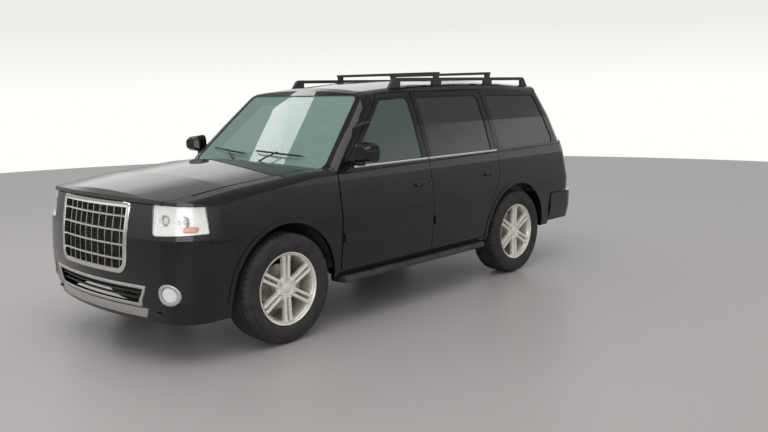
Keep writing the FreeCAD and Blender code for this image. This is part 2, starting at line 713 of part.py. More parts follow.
# Head lamps: a clear lens over a bucket with two reflector bowls, and round fog lamps below
lens_thickness, bucket_depth = 5, 110
lamp_plan = prism(HEAD_LAMP, "xz", -far, lamp_rear - seat_clearance, -seat_clearance)
lens_back = lower_envelope(lens_thickness, False).common(crest_cutter(lens_thickness))
bucket_front = lower_envelope(lens_thickness + seat_clearance + 14, False)
bucket_back = lower_envelope(bucket_depth, False)
twins("lamp_lenses", lower_skin.common(lamp_plan).cut(lens_back).cut(hood_room))
bucket = lens_back.common(lamp_plan).cut(bucket_back).cut(hood_room)
rim = prism(HEAD_LAMP, "xz", -far, lamp_rear - 12, -10)
bucket = bucket.cut(lens_back.common(rim).cut(bucket_front))
for x, z, radius in ((745, 985, 72), (862, 978, 62)):
    at = front_axle - 1000 + 90
    bucket = bucket.cut(Part.makeCone(radius, 24, 150, Vector(x, at - 20, z), Vector(0, 1, 0)))
fog = Part.makeCylinder(fog_radius - seat_clearance, 400, Vector(fog_x, front_axle - 1100, fog_z), Vector(0, 1, 0))
fog_body = lower_envelope(6, False).cut(lower_envelope(60, False)).common(fog)
twins("head_lamps", Part.makeCompound([bucket, fog_body]))

# Cowl between the hood and the windscreen
cowl = lower_envelope(70, False).common(crest_cutter(14)).common(along(2 - hood_side, hood_side - 2, 330, 540, 1150, far))
node("cowl", cowl.cut(hood_plan(panel_gap + 2).cut(crest_cutter(body_skin + 18))).cut(
    glass_slot.fuse(skin.cut(glass_outer)).common(prism(WINDSCREEN, "xz", -far, screen_rear, slot_tuck))))

# Rear bumper: a step wider than the body
BUMPER = ((430, 962, 170), (560, 996, 200), (bumper_top, 1000, 200))


def bumper_loft(inset, low, high):
    rows = [plan_outline(z, half - inset, front_axle + 2800, lower_front_curve, 200,
                         front_axle + rear_end - inset - (0 if z > 500 else 18), 5200 - inset, corner - inset)
            for z, half, corner in BUMPER]
    return Part.makeLoft(rows, True, True).common(block(-far, far, -far, far, low, high))


ledge = 24
bumper = bumper_loft(0, 0, far).cut(bumper_loft(body_skin, 0, bumper_top - ledge))
bumper = bumper.common(along(-far, far, bumper_front, far, 430, bumper_top)).cut(
    along(-880, 880, 0, 3998, bumper_top - ledge - 1, far))
bracket = along(392, 468, 3930, far, 570, 640).common(bumper_loft(body_skin - 2, 0, far))
bumper = joined([bumper, bracket, mirrored(bracket)])
receiver = size("receiver_outer")
receiver_z = 468
bumper = bumper.cut(along(-90, 90, 3900, far, 400, receiver_z + receiver / 2 + 14))
node("rear_bumper", bumper)

# Inner fenders: liners over the front wheels and the shelf under the fender's edge
liner_gap, liner_wall, liner_inner_x = 2, 6, 505


liner_bottom = arch_z + 60


def wheel_liner(y, x0):
    outer = cross_cylinder(arch_radius + liner_gap + liner_wall, x0, 985, y, arch_z)
    inner = cross_cylinder(arch_radius + liner_gap, x0 + liner_wall, far, y, arch_z)
    return outer.cut(inner).common(block(0, far, -far, far, liner_bottom, far))


liner = wheel_liner(front_axle, liner_inner_x)
liner = liner.cut(along(0, liner_inner_x + 30, -190, 190, 0, 630))
wall = along(690, 700, -480, 430, 870, 1040).cut(cross_cylinder(arch_radius + 4, 0, far, front_axle, arch_z))
shelf = along(690, far, -640, 430, 1030, 1040)
inner_fender = joined([liner, wall, shelf]).common(lower_inner).cut(lamp_opening).cut(bucket)
twins("inner_fenders", inner_fender)

# Floor pan with firewall, tunnel, rear wheelhouses and the panel under the liftgate
floor_z, floor_low = size("floor_height"), size("floor_height") - size("floor_thickness")
cargo_z, cargo_low = size("cargo_height"), size("cargo_height") - size("floor_thickness")
step_y = 2330
house = wheel_liner(rear_axle, 640)
room = cross_cylinder(arch_radius + liner_gap, 640 + liner_wall, far, rear_axle, arch_z)
flat = [
    along(-far, far, 450, step_y, floor_low, floor_z), along(-far, far, step_y, 3990, cargo_low, cargo_z),
    along(-far, far, step_y - 30, step_y, floor_low, cargo_z),
    along(-740, 740, 3940, 3975, 655, cargo_low)]
pan = joined(flat + [along(-170, 170, 450, 1480, floor_z, 610), house, mirrored(house)]).common(cabin_side)
pan = pan.cut(room).cut(mirrored(room)).cut(along(-145, 145, 0, 1440, 0, 585)).cut(gate_room)
firewall = along(-820, 820, 430, 450, floor_low, 1150).common(lower_envelope(80, False))
firewall = firewall.cut(along(-145, 145, 0, 1440, 0, 585))
front_room = cross_cylinder(arch_radius + liner_gap + liner_wall + seat_clearance, liner_inner_x - 1, far,
                            front_axle, arch_z)
node("floor_pan", joined([pan, firewall]).cut(front_room).cut(mirrored(front_room)))

# Chassis frame: rails that kick up over the axles, crossmembers and the hitch receiver
rail_low, rail_tall = size("rail_bottom"), size("rail_height")
rail_x0 = size("rail_offset") - size("rail_width") / 2
rail_x1 = size("rail_offset") + size("rail_width") / 2
front_rail, rear_rail = 420, cargo_low - 20 - 130
RAIL = from_axle([
    (-860, front_rail), (300, front_rail, 200), (580, rail_low, 200), (step_y + 10, rail_low, 150),
    (step_y + 310, rear_rail, 150), (3930, rear_rail), (3930, rear_rail + 130), (step_y + 290, rear_rail + 130, 150),
    (step_y + 30, rail_low + rail_tall, 150), (400, rail_low + rail_tall, 150), (170, front_rail + 130, 150),
    (-860, front_rail + 130)])
rail = prism(RAIL, "yz", rail_x0, rail_x1)
arm_seat, arm_low, arm_high, arm_thickness = 475, 262, 560, 26
FRAME = (
    (-rail_x0, rail_x0, -830, -770, front_rail + 10, front_rail + 90),
    (-arm_seat, arm_seat, -190, 190, 255, 330),
    (rail_x0, rail_x1, -190, 190, 329, front_rail + 1),
    (-rail_x0, rail_x0, 1060, 1140, rail_low, 385),
    (-rail_x0, rail_x0, 2080, 2160, rail_low, 385),
    (-rail_x0, rail_x0, 3140 - 100, 3100, rear_rail + 60, rear_rail + 130),
    (-rail_x0, rail_x0, 3870, 3930, 470, rear_rail + 130),
    (rail_x0, arm_seat, -150, 150, front_rail + 130, arm_high + arm_thickness),
)
members = [rail, mirrored(rail)]
for row in FRAME:
    members.append(along(*row))
    if row[0] > 0:
        members.append(mirrored(members[-1]))
for y, low, high in ((700, rail_low + rail_tall - 1, floor_low), (1500, rail_low + rail_tall - 1, floor_low),
                     (2650, rear_rail + 129, cargo_low), (3800, rear_rail + 129, cargo_low)):
    for s in (1, -1):
        members.append(Part.makeCylinder(38, high - low, Vector(s * size("rail_offset"), front_axle + y, low)))
receiver_start, receiver_end = 3860, 4100
half_receiver, half_bore = receiver / 2, size("receiver_inner") / 2
members.append(along(-half_receiver, half_receiver, receiver_start, receiver_end,
                     receiver_z - half_receiver, receiver_z + half_receiver))
pin_y = receiver_end - 45
frame_shape = joined(members)
frame_shape = frame_shape.cut(along(-half_bore, half_bore, receiver_start + 40, receiver_end + 1,
                                    receiver_z - half_bore, receiver_z + half_bore))
frame_shape = frame_shape.cut(cross_cylinder(size("hitch_pin_radius"), -100, 100, front_axle + pin_y, receiver_z))
node("chassis_frame", frame_shape.removeSplitter())

# Control arms, knuckles and rear axle
knuckle_face, hub_inner, hub_radius = 790, 38, 62


def control_arm(low):
    plan = [(arm_seat, -170), (560, -150, 40), (690, -45, 60), (806, -38, 30), (806, 38, 30), (690, 45, 60),
            (560, 150, 40), (arm_seat, 170), (arm_seat, 110), (560, 92, 30), (640, 0, 20), (560, -92, 30),
            (arm_seat, -110)]
    outline = [(p[0], p[1] + front_axle) + tuple(p[2:]) for p in plan]
    return prism(outline, "xy", low, low + arm_thickness)


twins("control_arms", Part.makeCompound([control_arm(arm_low), control_arm(arm_high)]))
post_low, post_high = arm_low + arm_thickness + seat_clearance, arm_high - seat_clearance
post = box("knuckle_post", (760, 800), (-36, 36), (post_low, post_high))
front_seat_x = cell("track_front") / 2 - hub_inner - cell("seat_clearance")
rear_seat_x = cell("track_rear") / 2 - hub_inner - cell("seat_clearance")
hub_z = cell("tyre_radius")
flange = rod("knuckle_flange", "x", hub_radius, front_seat_x - knuckle_face, (knuckle_face, 0, hub_z))
knuckle = fused("knuckle_left", [post, flange])
mirror_image("knuckle_right", knuckle)
axle_y, flange_width, axle_tube_radius, diff_radius = cell("wheelbase"), 28, 44, 128
tube = rod("axle_tube", "x", axle_tube_radius, rear_seat_x * 2, (-rear_seat_x, axle_y, hub_z))
diff = rod("axle_housing", "y", diff_radius, 190, (0, axle_y - 80, hub_z))
ends = [rod("axle_end_left", "x", hub_radius, flange_width, (rear_seat_x - flange_width, axle_y, hub_z)),
        rod("axle_end_right", "x", hub_radius, flange_width, (-rear_seat_x, axle_y, hub_z))]
springs = [rod("spring_" + name, "z", 62, rear_rail - hub_z, (x, axle_y, hub_z))
           for name, x in (("left", cell("rail_offset")), ("right", -cell("rail_offset")))]
fused("rear_axle", [tube, diff] + ends + springs)


# Wheels and tyres: turned profiles about the axle, six double spokes in a ring
def origin_feature(body, role):
    return [f for f in body.Origin.OriginFeatures if f.Role == role][0]


def outline_sketch(body, name, role, points):
    """Closed outline of straight runs in an origin plane; each corner follows the sheet."""
    sketch = body.newObject("Sketcher::SketchObject", name)
    sketch.AttachmentSupport = [(origin_feature(body, role), "")]
    sketch.MapMode = "FlatFace"
    count = len(points)
    places = [Vector(float(u), float(v), 0) for u, v in points]
    for i in range(count):
        sketch.addGeometry(Part.LineSegment(places[i], places[(i + 1) % count]), False)
    for i in range(count):
        sketch.addConstraint(Sketcher.Constraint("Coincident", i, 2, (i + 1) % count, 1))
    for i, point in enumerate(points):
        for kind, axis, value in (("DistanceX", -2, point[0]), ("DistanceY", -1, point[1])):
            if abs(float(value)) < 1e-9:
                sketch.addConstraint(Sketcher.Constraint("PointOnObject", i, 1, axis))
                continue
            index = sketch.addConstraint(Sketcher.Constraint(kind, -1, 1, i, 1, float(value)))
            if isinstance(value, Length):
                sketch.setExpression("Constraints[%d]" % index, value.formula)
    return sketch


def turned(body, name, points):
    """Turns an outline of (along the axle, radius) about the axle."""
    sketch = outline_sketch(body, name + "_outline", "XY_Plane", points)
    turn = body.newObject("PartDesign::Revolution", name)
    turn.Profile = sketch
    turn.ReferenceAxis = (origin_feature(body, "X_Axis"), [""])
    turn.Angle = 360
    body.Tip = turn
    return turn


def place_at(body, x, y):
    body.Placement = Placement(Vector(float(x), float(y), tyre_radius), Rotation())
    for axis, value in (("x", x), ("y", y), ("z", hub_z)):
        body.setExpression("Placement.Base." + axis, value.formula)


def moved_copy(label, source, x, y):
    """The same piece at another axle."""
    copy = doc.addObject("Part::Compound", label)
    copy.Links = [source]
    copy.Placement = Placement(Vector(float(x), float(y), 0), Rotation())
    copy.setExpression("Placement.Base.x", x.formula)
    copy.setExpression("Placement.Base.y", y.formula)
    return keep(label, copy)


def four_corners(label, front_left):
    """The left front piece, its mirror image and both again at the rear axle."""
    inward = (cell("track_rear") - cell("track_front")) / 2
    keep(label + "_front_left", front_left)
    front_right = mirror_image(label + "_front_right", front_left)
    moved_copy(label + "_rear_left", front_left, inward, cell("wheelbase"))
    moved_copy(label + "_rear_right", front_right, -inward, cell("wheelbase"))


tyre = doc.addObject("PartDesign::Body", "tyre_front_left")
tyre_half, tread = cell("tyre_width") / 2, cell("tyre_radius")
bead = cell("barrel_radius") + cell("seat_clearance")
rim_outer = cell("rim_radius")
half_rim = cell("rim_width") / 2
half_tyre = [(-half_rim + 12.5, bead), (-half_rim + 9.5, rim_outer + 0.5), (-tyre_half + 10, rim_outer + 12),
             (-tyre_half, rim_outer + 50), (-tyre_half + 8, tread - 38), (-tyre_half + 34, tread - 4),
             (-tyre_half + 58, tread)]
turned(tyre, "tyre_section", half_tyre + [(-u, v) for u, v in reversed(half_tyre)])
place_at(tyre, cell("track_front") / 2, front_line)
four_corners("tyre", tyre)

# Alloy wheel with its hub and brake disc in one piece
wheel = doc.addObject("PartDesign::Body", "wheel_front_left")
barrel = cell("barrel_radius")
barrel_in = barrel - cell("barrel_wall")
turned(wheel, "barrel", [
    (-half_rim, rim_outer), (-half_rim + 9, rim_outer), (-half_rim + 12, barrel), (half_rim - 12, barrel),
    (half_rim - 9, rim_outer), (half_rim, rim_outer), (half_rim, barrel_in + 4), (half_rim - 22, barrel_in),
    (-half_rim, barrel_in)])
face = half_rim - 14
spoke_back = face - 40
disc = cell("disc_radius")
turned(wheel, "hub", [
    (face - 8, 0), (face - 8, 52), (face - 16, 84), (spoke_back, 84), (spoke_back - 30, 70), (-4, 70), (-4, disc),
    (-26, disc), (-26, hub_radius - 2), (-hub_inner, hub_radius - 2), (-hub_inner, 0)])
spoke_profile = [(face - 10, 60), (face - 2, 150), (half_rim - 8, barrel_in + 3), (half_rim - 44, barrel_in + 3),
                 (spoke_back + 4, 150), (spoke_back, 60)]
bars_of_spoke = []
for name, offset in (("spoke_a", -cell("spoke_pitch") / 2), ("spoke_b", cell("spoke_pitch") / 2)):
    sketch = outline_sketch(wheel, name + "_outline", "XZ_Plane", spoke_profile)
    sketch.AttachmentOffset = Placement(Vector(0, 0, float(offset)), Rotation())
    sketch.setExpression("AttachmentOffset.Base.z", offset.formula)
    pad = wheel.newObject("PartDesign::Pad", name)
    pad.Profile = sketch
    pad.SideType = "Symmetric"
    pad.Length = size("spoke_width")
    pad.setExpression("Length", cell("spoke_width").formula)
    bars_of_spoke.append(pad)
ring = wheel.newObject("PartDesign::PolarPattern", "spoke_ring")
ring.Originals = bars_of_spoke
ring.Axis = (origin_feature(wheel, "X_Axis"), [""])
ring.Angle = 360
ring.Occurrences = int(size("spoke_count"))
ring.setExpression("Occurrences", cell("spoke_count").formula)
wheel.Tip = ring
place_at(wheel, cell("track_front") / 2, front_line)
four_corners("wheel", wheel)

# Engine, driveline, fuel tank, exhaust and spare wheel
engine_rear, gearbox_z = 330, 385 + 75
fused("powertrain", [box("engine_block", (-250, 250), (-420, engine_rear), (430, 980)),
                 box("engine_sump", (-130, 130), (-300, 180), (330, 431)),
    rod("gearbox", "y", 106, 480, (0, engine_rear, gearbox_z + 8)),
    rod("transfer_case", "y", 75 - seat_clearance, 450, (0, 800, gearbox_z)),
    rod("propeller_shaft", "y", 36, axle_y - 80 - 1240, (0, 1240, 432))])
keep("fuel_tank", box("fuel_tank", (110, cell("rail_offset") - cell("rail_width") / 2 - cell("seat_clearance")),
                      (1450, 2050), (392, cell("floor_height") - cell("floor_thickness") - 1)))


def pipe(points, radius):
    """Round bar along straight runs with sharp mitres; y is given from the front axle."""
    places = [Vector(x, y + front_axle, z) for x, y, z in points]
    path = Part.makePolygon(places)
    circle = Part.Wire(Part.makeCircle(radius, places[0], places[1] - places[0]))
    return path.makePipeShell([circle], True, False, 1)


exhaust = pipe([(-200, engine_rear, 450), (-200, 400, 450), (-290, 560, 450), (-290, 1900, 450)], 28)
muffler = along(-372, -205, 1895, 2300, 396, 490)
tail = pipe([(-290, 2290, 450), (-290, 2700, 492), (-290, 3000, 492), (-440, 3140, 478), (-570, 3330, 450),
             (-590, 4040, 405)], 28)
node("exhaust", joined([exhaust, muffler, tail]))
spare_y, spare_low = 3475, 482
section = [(60, spare_low + 60), (215, spare_low + 60), (215, spare_low), (330, spare_low), (368, spare_low + 40),
           (368, spare_low + 160), (330, spare_low + 200), (215, spare_low + 200), (215, spare_low + 90),
           (60, spare_low + 90), (60, cargo_low), (0, cargo_low), (0, spare_low + 60)]
spare = Part.Face(Part.makePolygon([Vector(r, 0, z) for r, z in section + section[:1]]))
spare = spare.revolve(Vector(0, 0, 0), Vector(0, 0, 1), 360)
spare.translate(Vector(0, front_axle + spare_y, 0))
node("spare_wheel", spare)

# Radiator support behind the grille
inner_seat = lower_inner.copy()
inner_seat.translate(Vector(0, seat_clearance, 0))
support = joined([along(-690, 690, -790, -740, front_rail + 130, 1060), along(-640, 640, -far, -740, 1045, 1060)])
support = support.common(inner_seat).cut(hood_room)
support = support.cut(along(-330, 330, -800, -772, 600, 1020)).cut(bucket).cut(mirrored(bucket))
node("radiator_support", support)

# Dashboard with the steering column, steering wheel, console and seats
DASH = from_axle([(450, 905), (640, 880, 40), (800, 905, 60), (838, 1010, 50), (770, 1120, 60), (450, 1149)])
wheel_x, wheel_y, wheel_z, column_rise = 400, 935, 1110, 25
console_half = 125
column_axis = Vector(0, math.cos(math.radians(column_rise)), math.sin(math.radians(column_rise)))
hub_at = Vector(wheel_x, front_axle + wheel_y, wheel_z)


def on_column(radius, start, end):
    return Part.makeCylinder(radius, end - start, hub_at + column_axis * start, column_axis)


dashboard = prism(DASH, "yz", -far, far).common(cabin_side)
dashboard = joined([dashboard, on_column(30, -230, -25 - seat_clearance)])
rim_ring = Part.makeTorus(186, 15, hub_at, column_axis)
across = Rotation(Vector(0, 1, 0), column_axis)
grips = []
for angle in (0, 180, 270):
    grip = Part.makeBox(190, 14, 34, Vector(0, -7, -17))
    grip.Placement = Placement(hub_at, across.multiply(Rotation(Vector(0, 1, 0), -angle)))
    grips.append(grip)
node("steering_wheel", joined([on_column(60, -25, 18), rim_ring] + grips))
node("dashboard", joined([dashboard, along(-console_half, console_half, 700, 1450, 610, 850)]))
SEAT = [(1040, 730, 20), (1030, 845, 50), (1090, 875, 60), (1470, 855, 60), (1590, 1420, 50), (1720, 1440, 50),
        (1630, 1060, 80), (1590, 820, 60), (1530, 730, 20)]
HEADREST = [(1624, 1420), (1605, 1480, 30), (1620, 1630, 40), (1700, 1640, 40), (1702, 1420)]


def seat(shift, half, head_half, lengthen, places):
    """Cushion, backrest and headrests in one closed solid."""
    def moved(points):
        return from_axle([(p[0] + shift,) + tuple(p[1:]) for p in points])
    shapes = [prism(moved(SEAT), "yz", -half, half),
              along(-half + 70, half - 70, 1090 + shift, 1510 + shift - lengthen, floor_z, 740)]
    for x in places:
        shapes.append(prism(moved(HEADREST), "yz", x - head_half, x + head_half))
    return joined(shapes)


front_seat = seat(0, 265, 125, 0, [0])
front_seat.translate(Vector(400, 0, 0))
rear_seat = seat(870, 660, 120, 90, [-420, 420]).cut(along(-far, far, step_y - 30, far, 0, cargo_z))
node("seats", Part.makeCompound([front_seat, mirrored(front_seat), rear_seat]))

# Door mirrors, carried on the front doors
MIRROR = ((640, 0.62), (675, 0.9), (752, 1.0))
MIRROR_FACE = [(990, 1258, 28), (1196, 1270, 45), (1206, 1398, 55), (1004, 1420, 45)]


def mirror_wire(y, scale):
    centre_x, centre_z = 1100, 1335
    points = [(centre_x + (x - centre_x) * scale, centre_z + (z - centre_z) * scale, r * scale)
              for x, z, r in MIRROR_FACE]
    wire = rounded_outline(points)
    wire.Placement = Placement(Vector(0, front_axle + y, 0), Rotation(Vector(1, 0, 0), 90))
    return wire


housing = Part.makeLoft([mirror_wire(y, scale) for y, scale in MIRROR], True, True)
arm = along(912, 1060, 692, 742, 1236, 1270)
both_sides("mirror", joined([housing, arm]).cut(front_door))

# Running boards on brackets from the frame
board_low, board_in = 338, 835
board_high, board_out = board_low + size("step_thickness"), board_in + size("step_width")
BOARD = [(board_in, board_low, 15), (board_out, board_low, 18), (board_out, board_high - 14, 8),
         (board_out - 14, board_high, 10), (board_in, board_high)]
board = prism(BOARD, "xz", front_axle + 560, front_axle + 2380)
arms = [along(rail_x1, 840, y - 32, y + 32, board_low + 12, board_high - 14) for y in (760, 1460, 2100)]
twins("running_boards", joined([board] + arms))

# Roof rack: two side rails on feet and two flat-topped crossbars
rack_top, rack_x, rack_half = size("rack_top"), 620, 15
rail_top = rack_top - size("bar_height") - 26
RACK = from_axle([(1470, 1780), (1560, rail_top, 70), (3580, rail_top, 70), (3668, 1780)])
rack_rail = prism(RACK, "yz", rack_x - rack_half, rack_x + rack_half)
for start, end in ((1640, 2090), (2210, 2890), (3010, 3540)):
    rack_rail = rack_rail.cut(along(0, far, start, end, 0, rail_top - 30))
rack = [rack_rail, mirrored(rack_rail)]
for y in (2150, 2950):
    half_bar = size("bar_width") / 2
    rack.append(along(-rack_x - 20, rack_x + 20, y - half_bar, y + half_bar, rack_top - size("bar_height"), rack_top))
    for s in (-1, 1):
        rack.append(along(s * rack_x - 18, s * rack_x + 18, y - 24, y + 24, rail_top - 10, rack_top - 10))
node("roof_rack", joined(rack).cut(skin))

doc.recompute()
for thing in doc.Objects:
    if "Invalid" in thing.State or "Error" in thing.State:
        raise RuntimeError("%s has failed: %s" % (thing.Name, thing.State))
for label, thing in pieces.items():
    if thing.Shape.isNull() or not thing.Shape.isValid():
        raise RuntimeError("%s has no valid shape" % label)
os.makedirs("parts", exist_ok=True)
for label, thing in pieces.items():
    thing.Shape.exportStep("parts/%s.step" % label)
print("%d sub-parts written" % len(pieces))
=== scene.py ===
import math
import bmesh
import bpy
from mathutils import Matrix, Vector


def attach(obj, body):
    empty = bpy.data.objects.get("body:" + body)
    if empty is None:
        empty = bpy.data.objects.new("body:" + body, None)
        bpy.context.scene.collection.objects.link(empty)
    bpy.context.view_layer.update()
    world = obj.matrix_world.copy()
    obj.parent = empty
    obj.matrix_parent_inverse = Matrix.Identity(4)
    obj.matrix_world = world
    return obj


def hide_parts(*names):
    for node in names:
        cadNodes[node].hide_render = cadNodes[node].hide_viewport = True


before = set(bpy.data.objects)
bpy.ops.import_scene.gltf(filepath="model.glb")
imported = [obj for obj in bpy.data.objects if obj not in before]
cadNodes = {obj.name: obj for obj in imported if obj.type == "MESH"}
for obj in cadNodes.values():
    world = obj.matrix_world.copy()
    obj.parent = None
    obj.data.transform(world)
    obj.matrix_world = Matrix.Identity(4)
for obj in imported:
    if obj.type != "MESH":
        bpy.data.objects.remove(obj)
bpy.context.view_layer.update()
print("frame loaded:", len(cadNodes), "pieces")

# Places shared with the part: metres, front towards -Y, the vehicle's left is +X
frontAxle, rearAxle = -1.565, 1.381
hubHeight = 0.405
trackFront, trackRear = 0.866, 0.858  # half of each track


class Signal:  # one output socket, so that shader maths reads as plain sums
    def __init__(self, tree, socket):
        self.tree = tree
        self.socket = socket

    def combine(self, operation, first, second, clamp=False):
        return self.tree.node("Math", {"operation": operation, "use_clamp": clamp}, {0: first, 1: second})

    def __add__(self, other):
        return self.combine("ADD", self, other)

    def __radd__(self, other):
        return self.combine("ADD", other, self)

    def __sub__(self, other):
        return self.combine("SUBTRACT", self, other)

    def __rsub__(self, other):
        return self.combine("SUBTRACT", other, self)

    def __mul__(self, other):
        return self.combine("MULTIPLY", self, other)

    def __rmul__(self, other):
        return self.combine("MULTIPLY", other, self)

    def limited(self):
        return self.combine("ADD", self, 0.0, True)


class Tree:  # a node tree that grows by one method
    def __init__(self, tree):
        self.tree = tree

    def node(self, kind, settings=None, sockets=None, out=0):
        made = self.tree.nodes.new("ShaderNode" + kind)
        for key, value in (settings or {}).items():
            if key == "stops":
                ramp = made.color_ramp
                while len(ramp.elements) < len(value):
                    ramp.elements.new(0.5)
                for element, (position, shade) in zip(ramp.elements, value):
                    element.position = position
                    element.color = asColour(shade)
            else:
                setattr(made, key, value)
        for key, value in (sockets or {}).items():
            if isinstance(value, Signal):
                self.tree.links.new(value.socket, made.inputs[key])
            else:
                made.inputs[key].default_value = value
        return Signal(self, made.outputs[out])

    def spread(self, value, low, high, start=0.0, end=1.0):  # maps low..high to start..end
        return self.node("MapRange", {}, {"Value": value, 1: low, 2: high, 3: start, 4: end})

    def ramp(self, value, stops):
        return self.node("ValToRGB", {"stops": stops}, {"Fac": value})


class Finish(Tree):  # a material
    def __init__(self, name, colour, **sockets):
        self.material = bpy.data.materials.new(name)
        self.material.use_nodes = True
        super().__init__(self.material.node_tree)
        self.shader = self.tree.nodes["Principled BSDF"]
        self.feed("Base Color", colour)
        for key, value in sockets.items():
            self.feed(key, value)
        self.object = self.node("TexCoord", out="Object")

    def feed(self, key, value):
        target = self.shader.inputs[key.replace("_", " ")]
        if isinstance(value, Signal):
            self.tree.links.new(value.socket, target)
        else:
            target.default_value = asColour(value) if isinstance(value, (tuple, list)) else value

    def noise(self, scale, detail=3.0, rough=0.5, stretch=None):
        place = self.object
        if stretch:
            place = self.node("VectorMath", {"operation": "MULTIPLY"}, {0: place, 1: stretch})
        return self.node("TexNoise", {}, {"Vector": place, "Scale": scale, "Detail": detail, "Roughness": rough})

    def spots(self, scale):
        return self.node("TexVoronoi", {}, {"Vector": self.object, "Scale": scale}, "Distance")

    def blend(self, factor, first, second):
        sides = {0: factor}
        for key, shade in ((6, first), (7, second)):
            sides[key] = shade if isinstance(shade, Signal) else asColour(shade)
        return self.node("Mix", {"data_type": "RGBA"}, sides, 2)

    def height(self):
        return self.node("SeparateXYZ", {}, {0: self.object}, 2)

    def bump(self, value, strength, distance=0.001, after=None):
        sockets = {"Height": value, "Strength": strength, "Distance": distance}
        if after:
            sockets["Normal"] = after
        self.feed("Normal", self.node("Bump", {}, sockets))

    def rounded(self, radius):  # soft edges on panels whose corners are sharp
        return self.node("Bevel", {"samples": 4}, {"Radius": radius})


def asColour(shade):
    if isinstance(shade, (int, float)):
        return (shade, shade, shade, 1.0)
    return tuple(shade) + (1.0,) * (4 - len(shade))


def toned(colour, factor, more=0.0):
    return tuple(min(1.0, c * factor + more) for c in colour)


# Finishes. Road film is a pale dust that gathers low down and in the wheel arches
dust = {"colour": (0.13, 0.12, 0.10), "bottom": 0.25, "top": 0.85, "most": 0.07, "fine": 0.02}
paintLook = {"colour": (0.004, 0.0045, 0.005), "rough": 0.30, "rougher": 0.9, "duller": 1.6}


def paintFinish():
    look = paintLook
    made = Finish("paintBlack", look["colour"], Roughness=0.32, Coat_Weight=1.0, Coat_Roughness=0.03,
                  Coat_IOR=1.45, Specular_IOR_Level=0.08)
    low = made.spread(made.height(), dust["bottom"], dust["top"], 1.0, 0.0)
    patches = made.spread(made.noise(5.0, 6.0, 0.62), 0.3, 0.75)
    film = (low * low * patches * dust["most"] + low * made.noise(90.0, 3.0, 0.6) * dust["fine"]).limited()
    made.feed("Base Color", made.blend(film, look["colour"], dust["colour"]))
    made.feed("Roughness", look["rough"] + film * look["rougher"])
    made.feed("Coat Weight", 1.0 - film * look["duller"])
    made.bump(made.noise(260.0, 1.0), 0.015, 0.001, made.rounded(0.004))
    return made


def glassFinish(name, tint, alpha, roughness=0.02):
    made = Finish(name, tint, Roughness=roughness, IOR=1.5, Alpha=alpha, Specular_IOR_Level=0.9)
    smear = made.noise(3.0, 5.0, 0.6)
    made.feed("Roughness", roughness + made.spread(smear, 0.45, 0.8) * 0.03)
    return made


def plasticFinish(name, colour, roughness, grain=900.0, worn=0.25, dusty=0.0):
    made = Finish(name, colour, Roughness=roughness)
    wear = made.spread(made.noise(9.0, 6.0, 0.6), 0.35, 0.8)
    shade = made.blend(wear * worn, colour, toned(colour, 1.6, 0.012))
    if dusty:
        low = made.spread(made.height(), 0.2, 1.0, 1.0, 0.0)
        shade = made.blend((low * wear * dusty).limited(), shade, dust["colour"])
    made.feed("Base Color", shade)
    made.feed("Roughness", roughness - 0.06 + wear * 0.14)
    made.bump(made.spots(grain), 0.12, 0.0006, made.rounded(0.0015))
    return made


# A worn finish turns towards another colour in patches: rough and metal give the clean value and its change
def wornFinish(name, colour, worn, share, rough, metal=(0.0, 0.0), patches=(14.0, 7.0, 0.65), edges=(0.45, 0.75),
               grain=None, strength=0.12, depth=0.0008, soft=0.0015, **sockets):
    made = Finish(name, colour, Roughness=rough[0], Metallic=metal[0], **sockets)
    wear = made.spread(made.noise(*patches), *edges)
    made.feed("Base Color", made.blend(wear * share, colour, worn))
    made.feed("Roughness", rough[0] + wear * rough[1])
    if metal[1]:
        made.feed("Metallic", metal[0] - wear * metal[1])
    edge = made.rounded(soft) if soft else None
    if grain:
        made.bump(made.noise(*grain), strength, depth, edge)
    else:
        made.feed("Normal", edge)
    return made


def metalFinish(name, colour, roughness, metallic, grain, stain, share):
    return wornFinish(name, colour, stain, share, (roughness, 0.25), (metallic, metallic * share),
                      grain=(grain, 4.0, 0.6))


def leatherFinish(name, colour):
    made = Finish(name, colour, Roughness=0.5, Sheen_Weight=0.1)
    pores = made.spots(420.0)
    creases = made.noise(55.0, 6.0, 0.7)
    patches = made.spread(made.noise(6.0, 4.0), 0.3, 0.75)
    made.feed("Base Color", made.blend(patches * 0.5, colour, toned(colour, 1.45)))
    made.feed("Roughness", 0.42 + creases * 0.22)
    made.bump(pores * 0.5 + creases, 0.28, 0.0012)
    return made


def carpetFinish(name, colour):
    made = Finish(name, colour, Roughness=0.95, Sheen_Weight=0.3)
    tufts = made.noise(1300.0, 2.0, 0.7)
    patches = made.noise(8.0, 4.0)
    made.feed("Base Color", made.blend(tufts * 0.5 + patches * 0.3, colour, toned(colour, 1.9)))
    made.bump(tufts, 0.5, 0.002)
    return made


def lampFinish(name, colour, roughness=0.08):
    made = Finish(name, colour, Roughness=roughness, Coat_Weight=1.0, Coat_Roughness=0.03)
    ribs = made.noise(160.0, 0.0, 0.5, (1.0, 0.2, 0.2))
    depth = made.spread(made.noise(7.0, 3.0), 0.3, 0.7)
    made.feed("Base Color", made.blend(depth * 0.3, colour, toned(colour, 0.55)))
    made.bump(ribs, 0.15, 0.001)
    return made


